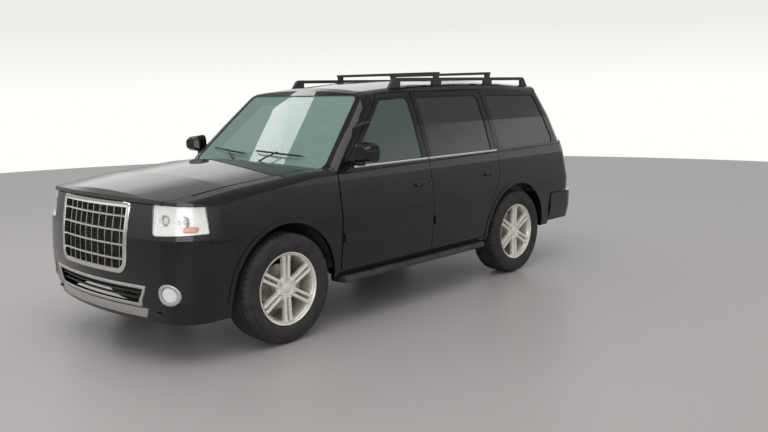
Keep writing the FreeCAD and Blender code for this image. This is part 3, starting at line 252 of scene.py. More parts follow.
finishes = {
    "paint": paintFinish(),
    # tint, alpha
    # windscreen glass: its green tint is real; its pale teal colour also paints in the bright reflection on the glass
    "clearGlassPaintedReflection": glassFinish("glassClearPaintedReflection", (0.24, 0.36, 0.32), 0.46),
    # front door glass: the same lightly tinted glass as the windscreen, made darker; its green tint is real, the extra
    # darkness is painted shade
    "doorGlassPaintedShade": glassFinish("glassDoorPaintedShade", (0.085, 0.115, 0.102), 0.62),
    "privacyGlass": glassFinish("glassPrivacy", (0.024, 0.027, 0.026), 0.84),
    "lens": glassFinish("lensClear", (0.80, 0.83, 0.83), 0.13),
    # colour, roughness, grain, share of wear, share of dust
    "trim": plasticFinish("trimBlack", (0.022, 0.022, 0.023), 0.5, dusty=0.5),
    "liner": plasticFinish("linerBlack", (0.016, 0.016, 0.016), 0.85, 300.0, 0.3, 0.8),
    "cabin": plasticFinish("cabinGrey", (0.085, 0.080, 0.074), 0.62),
    "pale": plasticFinish("cabinPale", (0.33, 0.30, 0.26), 0.8, 600.0, 0.15),
    "floorPaint": plasticFinish("underbodyBlack", (0.035, 0.035, 0.034), 0.8, 200.0, 0.4, 0.5),
    "bottle": plasticFinish("bottleWhite", (0.62, 0.62, 0.56), 0.45, 500.0, 0.1),
    # colour, roughness, metallic, grain, stain, share of stain
    "reflector": metalFinish("lampReflector", (0.96, 0.96, 0.95), 0.22, 0.35, 500.0, (0.70, 0.68, 0.64), 0.10),
    "smoked": metalFinish("chromeSmoked", (0.55, 0.54, 0.52), 0.20, 1.0, 500.0, (0.16, 0.15, 0.13), 0.25),
    "silver": metalFinish("trimSilver", (0.62, 0.61, 0.59), 0.32, 0.85, 500.0, (0.28, 0.26, 0.23), 0.25),
    "mirror": metalFinish("mirrorSilver", (0.86, 0.87, 0.88), 0.03, 1.0, 60.0, (0.45, 0.44, 0.42), 0.10),
    "blank": metalFinish("plateBlank", (0.66, 0.66, 0.64), 0.45, 0.2, 400.0, (0.30, 0.28, 0.25), 0.2),
    "framePaint": metalFinish("frameBlack", (0.035, 0.034, 0.033), 0.55, 0.3, 240.0, (0.13, 0.07, 0.04), 0.45),
    "castIron": metalFinish("ironCast", (0.16, 0.155, 0.15), 0.62, 0.7, 220.0, (0.17, 0.08, 0.04), 0.5),
    "castAlloy": metalFinish("aluminiumCast", (0.36, 0.36, 0.35), 0.55, 0.9, 260.0, (0.08, 0.07, 0.06), 0.5),
    "exhaust": metalFinish("exhaustSteel", (0.30, 0.28, 0.25), 0.45, 0.95, 240.0, (0.20, 0.11, 0.06), 0.5),
    # colour, worn colour, share of wear
    "chrome": wornFinish("chromeBright", (0.80, 0.79, 0.77), (0.50, 0.47, 0.43), 0.35, (0.08, 0.22), (1.0, 0.0),
                         (26.0, 5.0, 0.65), (0.42, 0.8), soft=0.002),
    "rubber": wornFinish("rubberTyre", (0.017, 0.017, 0.018), (0.085, 0.078, 0.066), 0.42, (0.7, 0.18), (0.0, 0.0),
                         (11.0, 6.0, 0.6), (0.4, 0.75), (700.0, 2.0), 0.10, 0.0005, None),
    "alloy": wornFinish("alloySilver", (0.87, 0.84, 0.78), (0.46, 0.42, 0.37), 0.22, (0.26, 0.3), (0.55, 0.25),
                        (18.0, 6.0, 0.62), (0.38, 0.78), (1400.0, 1.0), 0.03, 0.0003, 0.002, Coat_Weight=0.5,
                        Coat_Roughness=0.08),
    "disc": wornFinish("discIron", (0.42, 0.40, 0.38), (0.22, 0.10, 0.05), 0.5, (0.3, 0.35), (1.0, 0.0),
                       (30.0, 6.0, 0.7), (0.5, 0.75), (220.0, 2.0, 0.5, (0.0, 1.0, 1.0)), 0.08, 0.0004, None),
    "leather": leatherFinish("seatLeather", (0.14, 0.125, 0.108)),
    "carpet": carpetFinish("carpetDark", (0.030, 0.028, 0.026)),
    "redLamp": lampFinish("lampRed", (0.24, 0.004, 0.004), 0.12),
    "amberLamp": lampFinish("lampAmber", (0.80, 0.17, 0.01)),
    "whiteLamp": lampFinish("lampWhite", (0.85, 0.87, 0.88), 0.05),
}
print("finishes made:", len(finishes))

# Which finish each solid of the part gets
nodeFinish = {
    "paint": ("door_front_left", "door_front_right", "door_rear_left", "door_rear_right", "hood", "body_side_left",
              "body_side_right", "roof_panel", "liftgate", "fenders", "front_bumper", "rear_bumper",
              "mirror_left", "mirror_right"),
    "clearGlassPaintedReflection": ("windscreen",),
    "doorGlassPaintedShade": ("door_glass_front_left", "door_glass_front_right"),
    "lens": ("lamp_lenses",),
    "privacyGlass": ("door_glass_rear_left", "door_glass_rear_right", "quarter_glass", "liftgate_glass"),
    "chrome": ("grille",),
    "reflector": ("head_lamps",),
    "redLamp": ("tail_lamps",),
    "trim": ("cowl", "running_boards", "roof_rack", "radiator_support", "fuel_tank"),
    "liner": ("inner_fenders",),
    "cabin": ("dashboard", "steering_wheel"),
    "floorPaint": ("floor_pan",),
    "framePaint": ("chassis_frame", "control_arms", "rear_axle"),
    "castIron": ("knuckle_left", "knuckle_right"),
    "castAlloy": ("powertrain",),
    "alloy": ("wheel_front_left", "wheel_front_right", "wheel_rear_left", "wheel_rear_right"),
    "rubber": ("tyre_front_left", "tyre_front_right", "tyre_rear_left", "tyre_rear_right", "spare_wheel"),
    "leather": ("seats",),
    "exhaust": ("exhaust",),
}
for finishName, names in nodeFinish.items():
    for name in names:
        mesh = cadNodes[name].data
        mesh.materials.clear()
        mesh.materials.append(finishes[finishName].material)
print("solids dressed")

# Bodies that the pieces on both sides ride on, and a full turn
rootTwice = ("root", "root")
frontDoors, rearDoors = ("front_left_door", "front_right_door"), ("rear_left_door", "rear_right_door")
roundTurn = 2 * math.pi


# Mesh helpers. A form is a list of points and a list of faces
def meshOf(name, form, welded=True):
    mesh = bpy.data.meshes.new(name)
    mesh.from_pydata([tuple(p) for p in form[0]], [], form[1])
    work = bmesh.new()
    work.from_mesh(mesh)
    if welded:
        bmesh.ops.remove_doubles(work, verts=work.verts, dist=1e-6)
    bmesh.ops.recalc_face_normals(work, faces=work.faces)
    work.to_mesh(mesh)
    work.free()
    return mesh


def linked(name, data):
    made = bpy.data.objects.new(name, data)
    bpy.context.scene.collection.objects.link(made)
    return made


def addPiece(name, form, finish, body="root", smooth=35.0, bevel=0.0, levels=2):
    mesh = meshOf(name, form)
    mesh.materials.append(finishes[finish].material)
    piece = linked(name, mesh)
    if bevel:
        rounding = piece.modifiers.new("rounding", "BEVEL")
        rounding.width = bevel
        rounding.segments = levels
        rounding.limit_method = "ANGLE"
        rounding.angle_limit = math.radians(32.0)
    mesh.shade_smooth()
    if smooth < 180.0:
        mesh.set_sharp_from_angle(angle=math.radians(smooth))
    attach(piece, body)
    return piece


def sideName(name, side):
    return name + ("Left" if side > 0 else "Right")


def onBothSides(name, form, finish, bodies=rootTwice, smooth=35.0, bevel=0.0, levels=2):
    for side, body in zip((1, -1), bodies):
        half = form if side > 0 else mirroredForm(form)
        addPiece(sideName(name, side), half, finish, body, smooth, bevel, levels)


def merged(*parts):  # joins forms into one
    points, faces = [], []
    for morePoints, moreFaces in parts:
        start = len(points)
        points += [tuple(p) for p in morePoints]
        faces += [tuple(start + i for i in face) for face in moreFaces]
    return points, faces


def moved(form, matrix):
    points, faces = form
    return [tuple(matrix @ Vector(p)) for p in points], faces


def shifted(form, x=0.0, y=0.0, z=0.0):
    return moved(form, Matrix.Translation((x, y, z)))


def spun(form, angle, axis="Z"):
    return moved(form, Matrix.Rotation(angle, 4, axis))


def mirroredForm(form):
    return moved(form, Matrix.Scale(-1, 4, (1, 0, 0)))


def fromAxle(x, y, z):  # a place whose y is measured from the front axle
    return Vector((x, frontAxle + y, z))


def boxForm(low, high):
    points = [(x, y, z) for z in (low[2], high[2]) for y in (low[1], high[1]) for x in (low[0], high[0])]
    faces = [(0, 1, 3, 2), (4, 6, 7, 5), (0, 4, 5, 1), (2, 3, 7, 6), (0, 2, 6, 4), (1, 5, 7, 3)]
    return points, faces


def loftForm(rings, closed=False):  # rings of the same count of points, capped at both ends or joined in a circle
    points = [tuple(p) for ring in rings for p in ring]
    count, total = len(rings[0]), len(rings)
    faces = []
    for i in range(total if closed else total - 1):
        after = (i + 1) % total
        for j in range(count):
            k = (j + 1) % count
            faces.append((i * count + j, i * count + k, after * count + k, after * count + j))
    if not closed:
        faces += [tuple(range(count)), tuple(range((total - 1) * count, total * count))]
    return points, faces


def turned(along, radius, angle, axis):
    a, b = radius * math.cos(angle), radius * math.sin(angle)
    return {"X": (along, a, b), "Y": (a, along, b), "Z": (a, b, along)}[axis]


def turnedRings(profile, segments, axis):
    return [[turned(along, radius, roundTurn * i / segments, axis) for along, radius in profile]
            for i in range(segments)]


def ringForm(profile, segments, axis="X"):  # closed profile of (along the axis, radius), turned right round
    return loftForm(turnedRings(profile, segments, axis), True)


def capForm(profile, segments, axis="X"):  # open profile that starts and ends on the axis
    rings = turnedRings(profile[1:-1], segments, axis)
    points = [p for ring in rings for p in ring] + [turned(profile[i][0], 0, 0, axis) for i in (0, -1)]
    count = len(profile) - 2
    first, last = segments * count, segments * count + 1
    faces = []
    for i in range(segments):
        after = (i + 1) % segments
        for j in range(count - 1):
            faces.append((i * count + j, i * count + j + 1, after * count + j + 1, after * count + j))
        faces.append((first, i * count, after * count))
        faces.append((last, after * count + count - 1, i * count + count - 1))
    return points, faces


def tubeForm(path, radius, sides=12, closed=False):  # round bar along a path, of one radius or one for each place
    path = [Vector(p) for p in path]
    rings = []
    count = len(path)
    previous = None
    for i, here in enumerate(path):
        before = path[i - 1] if (i or closed) else here
        after = path[(i + 1) % count] if (i < count - 1 or closed) else here
        along = (after - before).normalized()
        side = previous or (Vector((0, 0, 1)) if abs(along.z) < 0.9 else Vector((1, 0, 0)))
        side = (side - along * side.dot(along)).normalized()
        previous = side
        other = along.cross(side)
        size = radius[i] if isinstance(radius, (list, tuple)) else radius
        rings.append([here + side * (size * math.cos(roundTurn * k / sides))
                      + other * (size * math.sin(roundTurn * k / sides)) for k in range(sides)])
    return loftForm(rings, closed)


def curved(controls, steps=8):  # smooth run through its control points
    out = []
    places = [Vector(p) for p in controls]
    for i in range(len(places) - 1):
        a, b = places[max(i - 1, 0)], places[i]
        c, d = places[i + 1], places[min(i + 2, len(places) - 1)]
        for k in range(steps):
            t = k / steps
            out.append(0.5 * ((2 * b) + (c - a) * t + (2 * a - 5 * b + 4 * c - d) * t * t
                              + (3 * b - a - 3 * c + d) * t * t * t))
    out.append(places[-1])
    return out


# Outlines are lists of (u, v)
def ovalLoop(u, v, across, up, count):
    return [(u + across * math.cos(roundTurn * i / count), v + up * math.sin(roundTurn * i / count))
            for i in range(count)]


def roundedLoop(width, height, radius, steps=5):  # rounded rectangle about 0, 0
    loop = []
    for sx, sz, start in ((1, 1, 0), (-1, 1, 90), (-1, -1, 180), (1, -1, 270)):
        for i in range(steps + 1):
            angle = math.radians(start + 90.0 * i / steps)
            loop.append((sx * (width / 2 - radius) + radius * math.cos(angle),
                         sz * (height / 2 - radius) + radius * math.sin(angle)))
    return loop


def loopAt(u, v, width, height, radius):
    return [(u + a, v + b) for a, b in roundedLoop(width, height, radius)]


def roundedCorners(places, steps=6):  # outline from its corners: u, v, corner radius
    loop = []
    for i, (x, z, r) in enumerate(places):
        here = Vector((x, z))
        before = (Vector(places[i - 1][:2]) - here).normalized()
        after = (Vector(places[(i + 1) % len(places)][:2]) - here).normalized()
        half = before.angle(after) / 2
        centre = here + (before + after).normalized() * (r / math.sin(half))
        start, end = here + before * (r / math.tan(half)), here + after * (r / math.tan(half))
        a, b = start - centre, end - centre
        turn = a.angle(b)
        for k in range(steps + 1):
            part = k / steps
            swing = (a * math.sin((1 - part) * turn) + b * math.sin(part * turn)) / math.sin(turn)
            loop.append(tuple(centre + swing))
    return loop


def cornerLoop(corners):  # outline from the corners of its right half
    return roundedCorners(list(corners) + [(-x, z, r) for x, z, r in reversed(corners)])


def divided(loop, counts):  # cuts each run into so many pieces
    out = []
    for (u, v), (nextU, nextV), pieces in zip(loop, loop[1:] + loop[:1], counts):
        out += [(u + (nextU - u) * k / pieces, v + (nextV - v) * k / pieces) for k in range(pieces)]
    return out


def filled(loop, longest=0.06):  # adds points so that long runs follow a curved surface
    lengths = [math.hypot(b[0] - a[0], b[1] - a[1]) for a, b in zip(loop, loop[1:] + loop[:1])]
    return divided(loop, [max(1, math.ceil(length / longest)) for length in lengths])


def inset(loop, width):
    out = []
    for i, here in enumerate(loop):
        along = (Vector(loop[(i + 1) % len(loop)]) - Vector(loop[i - 1])).normalized()
        out.append((here[0] - along.y * width, here[1] + along.x * width))
    return out


def middleOf(loop):
    return sum(p[0] for p in loop) / len(loop), sum(p[1] for p in loop) / len(loop)


def scaled(loop, factor):
    u0, v0 = middleOf(loop)
    return [(u0 + (u - u0) * factor, v0 + (v - v0) * factor) for u, v in loop]


# Forms on a surface: place(u, v, out) gives the point, out is how far it stands off
def raisedForm(loop, place, thickness, edge=0.002, sunk=0.003, steps=3):  # a pad that follows a surface
    u0, v0 = middleOf(loop)
    reach = max(max(abs(p[0] - u0), abs(p[1] - v0)) for p in loop)
    rings = [(1.0, -sunk), (1.0, thickness - edge), (1.0 - 0.3 * edge / reach, thickness - 0.3 * edge),
             (1.0 - edge / reach, thickness)]
    rings += [(1.0 - i / (steps + 0.5), thickness) for i in range(1, steps + 1)]
    return loftForm([[place(u, v, out) for u, v in scaled(loop, scale)] for scale, out in rings])


def bandForm(loop, place, width, thickness, sunk=0.003):  # a frame drawn in towards the loop's middle
    u0, v0 = middleOf(loop)
    section = ((0.0, -sunk), (0.0, thickness * 0.6), (0.18, thickness), (0.82, thickness),
               (1.0, thickness * 0.6), (1.0, -sunk))
    rings = []
    for u, v in loop:
        away = math.hypot(u - u0, v - v0)
        scales = [((away - width * part) / away, out) for part, out in section]
        rings.append([place(u0 + (u - u0) * scale, v0 + (v - v0) * scale, out) for scale, out in scales])
    return loftForm(rings, True)


def frameForm(outer, place, section):  # section: how far in from the loop and how far out from the surface
    return loftForm([[place(u, v, out) for u, v in inset(outer, away)] for away, out in section], True)


def offset(place, distance):
    return lambda u, v, out: place(u, v, out + distance)


def blockForm(width, depth, radius, levels, steps=5):  # upright block from (scale, height) levels
    return loftForm([[(u * scale, v * scale, z) for u, v in roundedLoop(width, depth, radius, steps)]
                     for scale, z in levels])


# Tyres: blocks and grooves in the tread, ribs and a bead on the sidewall. Profiles are (across, radius)
tyreLook = {"radius": 0.4045, "pitches": 56, "perPitch": 4, "grooves": (-0.072, -0.026, 0.026, 0.072),
            "grooveHalf": 0.0045, "grooveEdge": 0.001, "groove": 0.008, "tread": 0.104, "round": 0.0042,
            "middleRib": 0.031, "sipe": 0.0055, "skew": 0.010, "shoulder": (0.3535, 0.3985), "notch": 0.0035,
            "wall": ((-0.106, 0.2475), (-0.1105, 0.262), (-0.1115, 0.2705), (-0.124, 0.276), (-0.1325, 0.292),
                     (-0.1366, 0.314), (-0.1372, 0.334), (-0.1342, 0.352), (-0.1312, 0.3545), (-0.1307, 0.366),
                     (-0.1265, 0.380), (-0.120, 0.390), (-0.112, 0.3965)),
            "inner": ((0.098, 0.2475), (0.100, 0.30), (0.085, 0.37), (-0.085, 0.37), (-0.100, 0.30),
                      (-0.098, 0.2475))}


def tyreForm():
    look = tyreLook
    top, inside, outside = look["radius"], look["grooveHalf"], look["grooveHalf"] + look["grooveEdge"]
    crown = [(-look["tread"], 0)]  # (across, 1 in a groove)
    for groove in look["grooves"]:
        crown += [(groove - outside, 0), (groove - inside, 1), (groove + inside, 1), (groove + outside, 0)]
    crown.append((look["tread"], 0))
    profile = [(x, r, -1) for x, r in look["wall"]] + [(x, 0, deep) for x, deep in crown]
    profile += [(-x, r, -1) for x, r in reversed(look["wall"])] + [(x, r, -1) for x, r in look["inner"]]
    rows = look["pitches"] * look["perPitch"]
    low, high = look["shoulder"]
    rings = []
    for i in range(rows):
        cut = i % look["perPitch"] == 0
        ring = []
        for x, radius, deep in profile:
            skew = 0.0
            if deep >= 0:
                radius = top - look["round"] * (abs(x) / look["tread"]) ** 2.4 - look["groove"] * deep
                skew = look["skew"] * math.sin(abs(x) * 40.0) / top
                if cut and deep == 0 and abs(x) > look["middleRib"]:
                    radius -= look["sipe"]
            elif cut and low < radius < high and abs(x) > 0.105:
                radius -= look["notch"]
                x *= 0.985
            ring.append(turned(x, radius, roundTurn * i / rows + skew, "X"))
        rings.append(ring)
    return loftForm(rings, True)


# Alloy wheels: six pairs of bars on a stepped rim, with nuts, cap, valve and a vented disc behind
wheelLook = {"spokes": 6, "pair": 0.023, "nuts": 6, "nutCircle": 0.070, "vanes": 36,
             # radius, front, back, half width of a bar
             "bar": ((0.050, 0.100, 0.062, 0.013), (0.085, 0.103, 0.066, 0.0125), (0.130, 0.1045, 0.068, 0.0118),
                     (0.180, 0.1065, 0.070, 0.0115), (0.222, 0.109, 0.072, 0.0120),
                     (0.2415, 0.1105, 0.073, 0.0150)),
             # profiles of (across, radius)
             "rim": ((0.120, 0.2675), (0.1195, 0.2625), (0.1155, 0.2590), (0.1120, 0.2570), (0.1090, 0.2510),
                     (0.1040, 0.2460), (0.094, 0.2410), (0.060, 0.2380), (0.00, 0.2365), (-0.095, 0.2370),
                     (-0.118, 0.2420), (-0.1195, 0.2480), (-0.1195, 0.2675), (-0.1115, 0.2675), (-0.1085, 0.2475),
                     (-0.090, 0.2460), (-0.07, 0.2455), (0.07, 0.2455), (0.1085, 0.2475), (0.1115, 0.2675)),
             "hub": ((0.0965, 0.0), (0.0965, 0.0365), (0.0945, 0.0385), (0.0945, 0.0420), (0.0990, 0.0450),
                     (0.0985, 0.0560), (0.0930, 0.0840), (0.0880, 0.0900), (0.0680, 0.0900), (0.0350, 0.0700),
                     (-0.0030, 0.0695), (-0.0030, 0.0)),
             "nut": ((0.112, 0.0), (0.112, 0.006), (0.110, 0.0095), (0.0950, 0.0105), (0.0935, 0.0140),
                     (0.0915, 0.0150), (0.0905, 0.0)),
             "cap": ((0.1030, 0.0), (0.1025, 0.020), (0.1000, 0.0330), (0.0970, 0.036), (0.0930, 0.036),
                     (0.0930, 0.0)),
             "outerDisc": ((-0.0045, 0.075), (-0.0045, 0.1645), (-0.0115, 0.1645), (-0.0115, 0.075)),
             "innerDisc": ((-0.0185, 0.075), (-0.0185, 0.1645), (-0.0255, 0.1645), (-0.0255, 0.062),
                           (-0.0375, 0.062), (-0.0375, 0.050), (-0.0240, 0.050), (-0.0240, 0.075))}


def spokeForm(offCentre):
    rings = []
    for radius, front, back, half in wheelLook["bar"]:
        lean = offCentre * (0.80 + 0.20 * radius / 0.24)
        section = ((back, -1.05), (front - 0.006, -1), (front, -0.70), (front + 0.001, 0), (front, 0.70),
                   (front - 0.006, 1), (back, 1.05))
        rings.append([(x, lean + half * part, radius) for x, part in section])
    return loftForm(rings)


def wheelForms():
    look = wheelLook
    spokes = [spun(spokeForm(away), roundTurn * i / look["spokes"], "X")
              for i in range(look["spokes"]) for away in (-look["pair"], look["pair"])]
    nuts = [shifted(capForm(look["nut"], 12), *turned(0, look["nutCircle"], roundTurn * (i + 0.5) / look["nuts"], "X"))
            for i in range(look["nuts"])]
    valve = tubeForm([(0.085, 0, 0.2445), (0.098, 0, 0.232), (0.108, 0, 0.226)], [0.0045, 0.004, 0.0032], 10)
    vane = boxForm((-0.0190, 0.090, -0.0022), (-0.0110, 0.1600, 0.0022))
    vanes = [spun(vane, roundTurn * i / look["vanes"], "X") for i in range(look["vanes"])]
    return {"alloyWheel": merged(ringForm(look["rim"], 96), *spokes, capForm(look["hub"], 72)),
            "wheelNuts": merged(*nuts), "wheelCap": capForm(look["cap"], 48),
            "tyreValve": spun(valve, math.pi / 6, "X"),
            "brakeDisc": merged(ringForm(look["outerDisc"], 72), ringForm(look["innerDisc"], 72), *vanes)}


wheelPieces = {"tyre": tyreForm(), **wheelForms()}
for end, axle, track in (("front", frontAxle, trackFront), ("rear", rearAxle, trackRear)):
    for side, sideWord in ((1, "left"), (-1, "right")):
        wheel = end + "_" + sideWord
        for name, finish, smooth, bevel, replaced in (
                ("tyre", "rubber", 28.0, 0.0, "tyre_"), ("alloyWheel", "alloy", 40.0, 0.0012, "wheel_"),
                ("wheelNuts", "chrome", 40.0, 0.0, None), ("wheelCap", "alloy", 50.0, 0.0, None),
                ("tyreValve", "trim", 60.0, 0.0, None), ("brakeDisc", "disc", 40.0, 0.0, None)):
            form = wheelPieces[name] if side > 0 else mirroredForm(wheelPieces[name])
            piece = addPiece(sideName(name + end.capitalize(), side), shifted(form, side * track, axle, hubHeight),
                             finish, wheel + "_wheel", smooth, bevel)
            if replaced:
                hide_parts(replaced + wheel)
print("wheels built")

# The body's surfaces, repeated from the part: height, half width, front, front corner, rear from the front axle
lowerRows = ((0.240, 0.905, -0.920, 0.250, 4.000), (0.440, 0.965, -0.978, 0.300, 4.040),
             (0.640, 0.988, -0.990, 0.330, 4.050), (0.860, 1.000, -0.975, 0.340, 4.040),
             (1.130, 0.966, -0.925, 0.310, 3.990), (1.290, 0.925, -0.885, 0.290, 3.950))
cabRows = ((1.120, 0.966, 0.290, 0.080, 3.985), (1.500, 0.844, 0.705, 0.080, 3.870),
           (1.960, 0.660, 1.210, 0.080, 3.680))
frontCurve, cabRearCurve, lowerRearCurve = 3.0, 5.2, 9.0


def atHeight(rows, z, column):  # a column's value between the rows, which are listed by their first column
    for low, high in zip(rows, rows[1:]):
        if z <= high[0] or high is rows[-1]:
            part = (z - low[0]) / (high[0] - low[0])
            return low[column] + (high[column] - low[column]) * part


def bowDepth(x, half, corner, curve):  # how far a bowed outline has fallen back from its middle
    limit = (half - corner) * curve / (curve - corner)
    if abs(x) <= limit:
        return curve - math.sqrt(curve ** 2 - x * x)
    middle = curve - math.sqrt((curve - corner) ** 2 - (half - corner) ** 2)
    return middle - math.sqrt(max(corner ** 2 - (abs(x) - (half - corner)) ** 2, 0.0))


def frontPoint(x, z, out=0.0, rows=lowerRows):  # a place on the nose, and how far it stands out
    half, front, corner = (atHeight(rows, z, column) for column in (1, 2, 3))
    return fromAxle(x, front + bowDepth(x, half, corner, frontCurve) - out, z)


def screenPoint(x, z, out=0.0):  # on the windscreen, out is square to the glass
    return frontPoint(x, z, 0.0, cabRows) + Vector((0, -0.673, 0.739)) * out


def rearPoint(x, z, out=0.0):
    rows, curve = (lowerRows, lowerRearCurve) if z < 1.22 else (cabRows, cabRearCurve)
    return fromAxle(x, atHeight(rows, z, 4) - (curve - math.sqrt(curve * curve - x * x)) + out, z)


def sidePoint(y, z, out=0.0):
    return fromAxle(atHeight(lowerRows if z < 1.235 else cabRows, z, 1) + out, y, z)


def noseBar(start, end, section, steps):  # a bar from (x, z) to (x, z), its section in (dx, dz, depth)
    rings = []
    for k in range(steps + 1):
        x, z = (a + (b - a) * k / steps for a, b in zip(start, end))
        rings.append([frontPoint(x + dx, z + dz, -depth) for dx, dz, depth in section])
    return loftForm(rings)


# Grille: fine mesh behind crossing bars in a rounded frame
grilleLook = {"corners": ((0.4395, 0.6065, 0.0945), (0.4545, 1.0915, 0.0335)),
              "frame": ((0.0, -0.026), (0.0, 0.006), (0.004, 0.010), (0.018, 0.0065), (0.032, 0.0095),
                        (0.036, 0.006), (0.036, -0.026)),
              "bars": 4, "barHalf": 0.008, "uprights": 9, "uprightHalf": 0.0035, "uprightSpan": 0.860,
              "mesh": {"pitch": 0.020, "half": 0.425, "low": 0.625, "high": 1.075, "wire": 0.0022, "behind": -0.036}}


def grilleMesh():
    look = grilleLook["mesh"]
    half, low, high, pitch = look["half"], look["low"], look["high"], look["pitch"]
    columns, rows = int(2 * half / pitch) + 1, int((high - low) / pitch) + 1
    runs = [[(i * pitch - half, low + (high - low) * k / 6) for k in range(7)] for i in range(columns)]
    runs += [[(half * (k / 6 - 1), low + j * pitch) for k in range(13)] for j in range(rows)]
    return merged(*[tubeForm([frontPoint(x, z, look["behind"]) for x, z in run], look["wire"], 5) for run in runs])


def grilleBarForms():
    look = grilleLook
    (_, low, _), (_, high, _) = look["corners"]
    half, slim = look["barHalf"], look["uprightHalf"]
    barSection = ((0, -half, 0.030), (0, -half, 0.008), (0, -0.004, 0.0045), (0, 0.004, 0.0045), (0, half, 0.008),
                  (0, half, 0.030))
    uprightSection = ((-slim, 0, 0.029), (-slim, 0, 0.016), (0, 0, 0.0145), (slim, 0, 0.016), (slim, 0, 0.029))
    bars = []
    for i in range(look["bars"]):
        z, reach = low + (high - low) * (i + 1) / (look["bars"] + 1), 0.428 if i else 0.415
        bars.append(noseBar((-reach, z), (reach, z), barSection, 24))
    for i in range(look["uprights"]):
        x = look["uprightSpan"] * ((i + 1) / (look["uprights"] + 1) - 0.5)
        bars.append(noseBar((x, low + 0.030), (x, high - 0.032), uprightSection, 12))
    return merged(*bars)


addPiece("grilleMesh", grilleMesh(), "trim", smooth=60.0)
grilleFrame = addPiece("grilleFrame", frameForm(filled(cornerLoop(grilleLook["corners"])), frontPoint,
                                                grilleLook["frame"]), "chrome", smooth=40.0)
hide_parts("grille")
addPiece("grilleBars", grilleBarForms(), "smoked", smooth=40.0)

# Lower intake: two bars in a surround, a skid plate below and a tow hook on each side
intakeLook = {"bars": (0.452, 0.488), "corners": [(0.520, 0.418), (0.585, 0.522), (-0.585, 0.522), (-0.520, 0.418)],
              "pieces": (3, 24, 3, 24), "middle": 0.470,
              "bar": ((0, -0.006, 0.033), (0, -0.006, 0.016), (0, -0.002, 0.0125), (0, 0.002, 0.0125),
                      (0, 0.006, 0.016), (0, 0.006, 0.033)),
              # how far away from the opening, how far out
              "surround": ((0.0, -0.004), (0.0, 0.004), (0.005, 0.008), (0.019, 0.008), (0.024, 0.004),
                           (0.024, -0.004))}
skidLook = {"top": (0.60, 0.386), "low": (0.555, 0.312),  # half width, height
            "section": (("top", -0.002, 0), ("top", -0.007, -0.004), ("low", -0.007, 0.006), ("low", -0.002, 0),
                        ("low", 0.006, 0), ("top", 0.006, 0))}


def intakeSurroundForm():
    look = intakeLook
    rings = []
    for u, v in divided(look["corners"], look["pieces"]):
        sideways, level = 1 if u > 0 else -1, 1 if v > look["middle"] else -1
        if abs(v - look["middle"]) < 0.045:  # on a slanting end
            level = 0
        rings.append([frontPoint(u + sideways * away, v + level * away, out) for away, out in look["surround"]])
    return loftForm(rings, True)


def skidForm():
    rings = []
    for k in range(41):
        edges = {key: frontPoint((k / 20 - 1) * skidLook[key][0], skidLook[key][1]) for key in ("top", "low")}
        rings.append([edges[key] + Vector((0, dy, dz)) for key, dy, dz in skidLook["section"]])
    return loftForm(rings)


intakeBars = []
for z in intakeLook["bars"]:
    half = 0.516 + (z - 0.418) * 0.62
    intakeBars.append(noseBar((-half, z), (half, z), intakeLook["bar"], 30))
addPiece("intakeBars", merged(*intakeBars), "trim", smooth=40.0)
print("grille built")

# Lamps: two bowls with bulbs and an amber corner on each side, and fog lamps in the bumper
lampLook = {"bowls": ((0.745, 0.985, -0.812), (0.862, 0.978, -0.750)),  # x, height, y
            "fog": (0.795, 0.500), "fogRadius": 0.0555,
            "shroud": ((0.0, 0.0390), (-0.012, 0.0400), (-0.016, 0.0385), (-0.016, 0.0345), (0.0, 0.0300)),
            "bulb": ((0.004, 0.0), (0.004, 0.0290), (-0.004, 0.0288), (-0.013, 0.0230), (-0.018, 0.0130),
                     (-0.020, 0.0)),
            "amber": (0.905, 0.930, 0.062, 0.036, 0.010)}


def inBowls(form):
    return merged(*[shifted(form, *fromAxle(x, y, z)) for x, z, y in lampLook["bowls"]])


onBothSides("lampShroud", inBowls(ringForm(lampLook["shroud"], 40, "Y")), "smoked", smooth=40.0)
onBothSides("lampBulb", inBowls(capForm(lampLook["bulb"], 32, "Y")), "whiteLamp", smooth=60.0)
onBothSides("lampAmber", raisedForm(loopAt(*lampLook["amber"]), offset(frontPoint, -0.022), 0.006), "amberLamp",
            smooth=40.0)
fogLoop = ovalLoop(*lampLook["fog"], lampLook["fogRadius"], lampLook["fogRadius"], 40)
onBothSides("fogBezel", bandForm(scaled(fogLoop, 1.34), frontPoint, 0.021, 0.006), "silver", smooth=40.0)
onBothSides("fogLens", raisedForm(scaled(fogLoop, 0.9), offset(frontPoint, -0.006), 0.004), "whiteLamp", smooth=40.0)
addPiece("intakeSurround", intakeSurroundForm(), "silver", smooth=40.0)
addPiece("skidPlate", skidForm(), "silver", smooth=40.0)
hookRun = ((0.0, 0.352, -0.02), (0.0, 0.352, 0.004), (0.020, 0.356, 0.012), (0.040, 0.352, 0.004),
           (0.040, 0.352, -0.02))
hooks = [tubeForm(curved([frontPoint(x + dx, z, out) for dx, z, out in hookRun], 5), 0.008, 10)
         for x in (0.655, -0.695)]
addPiece("towHooks", merged(*hooks), "framePaint", smooth=60.0)
print("nose built")

# Windscreen: black border inside the glass, wipers and their pivots in the cowl
borderLook = {"corners": ((0.822, 1.205, 0.045), (0.655, 1.745, 0.065)), "width": 0.048, "under": -0.0145}
wiperLook = {"low": 1.290, "high": 1.316, "pivotHeight": 1.236,
             "knob": ((-0.030, 0.0), (-0.030, 0.014), (0.006, 0.014), (0.010, 0.010), (0.010, 0.0)),
             # start, end, pivot
             "blades": (("wiperDriver", 0.60, 0.04, 0.20), ("wiperPassenger", -0.04, -0.60, -0.14))}


def bladePoint(start, end, part, out):
    low, high = wiperLook["low"], wiperLook["high"]
    return screenPoint(start + (end - start) * part, low + (high - low) * part, out)


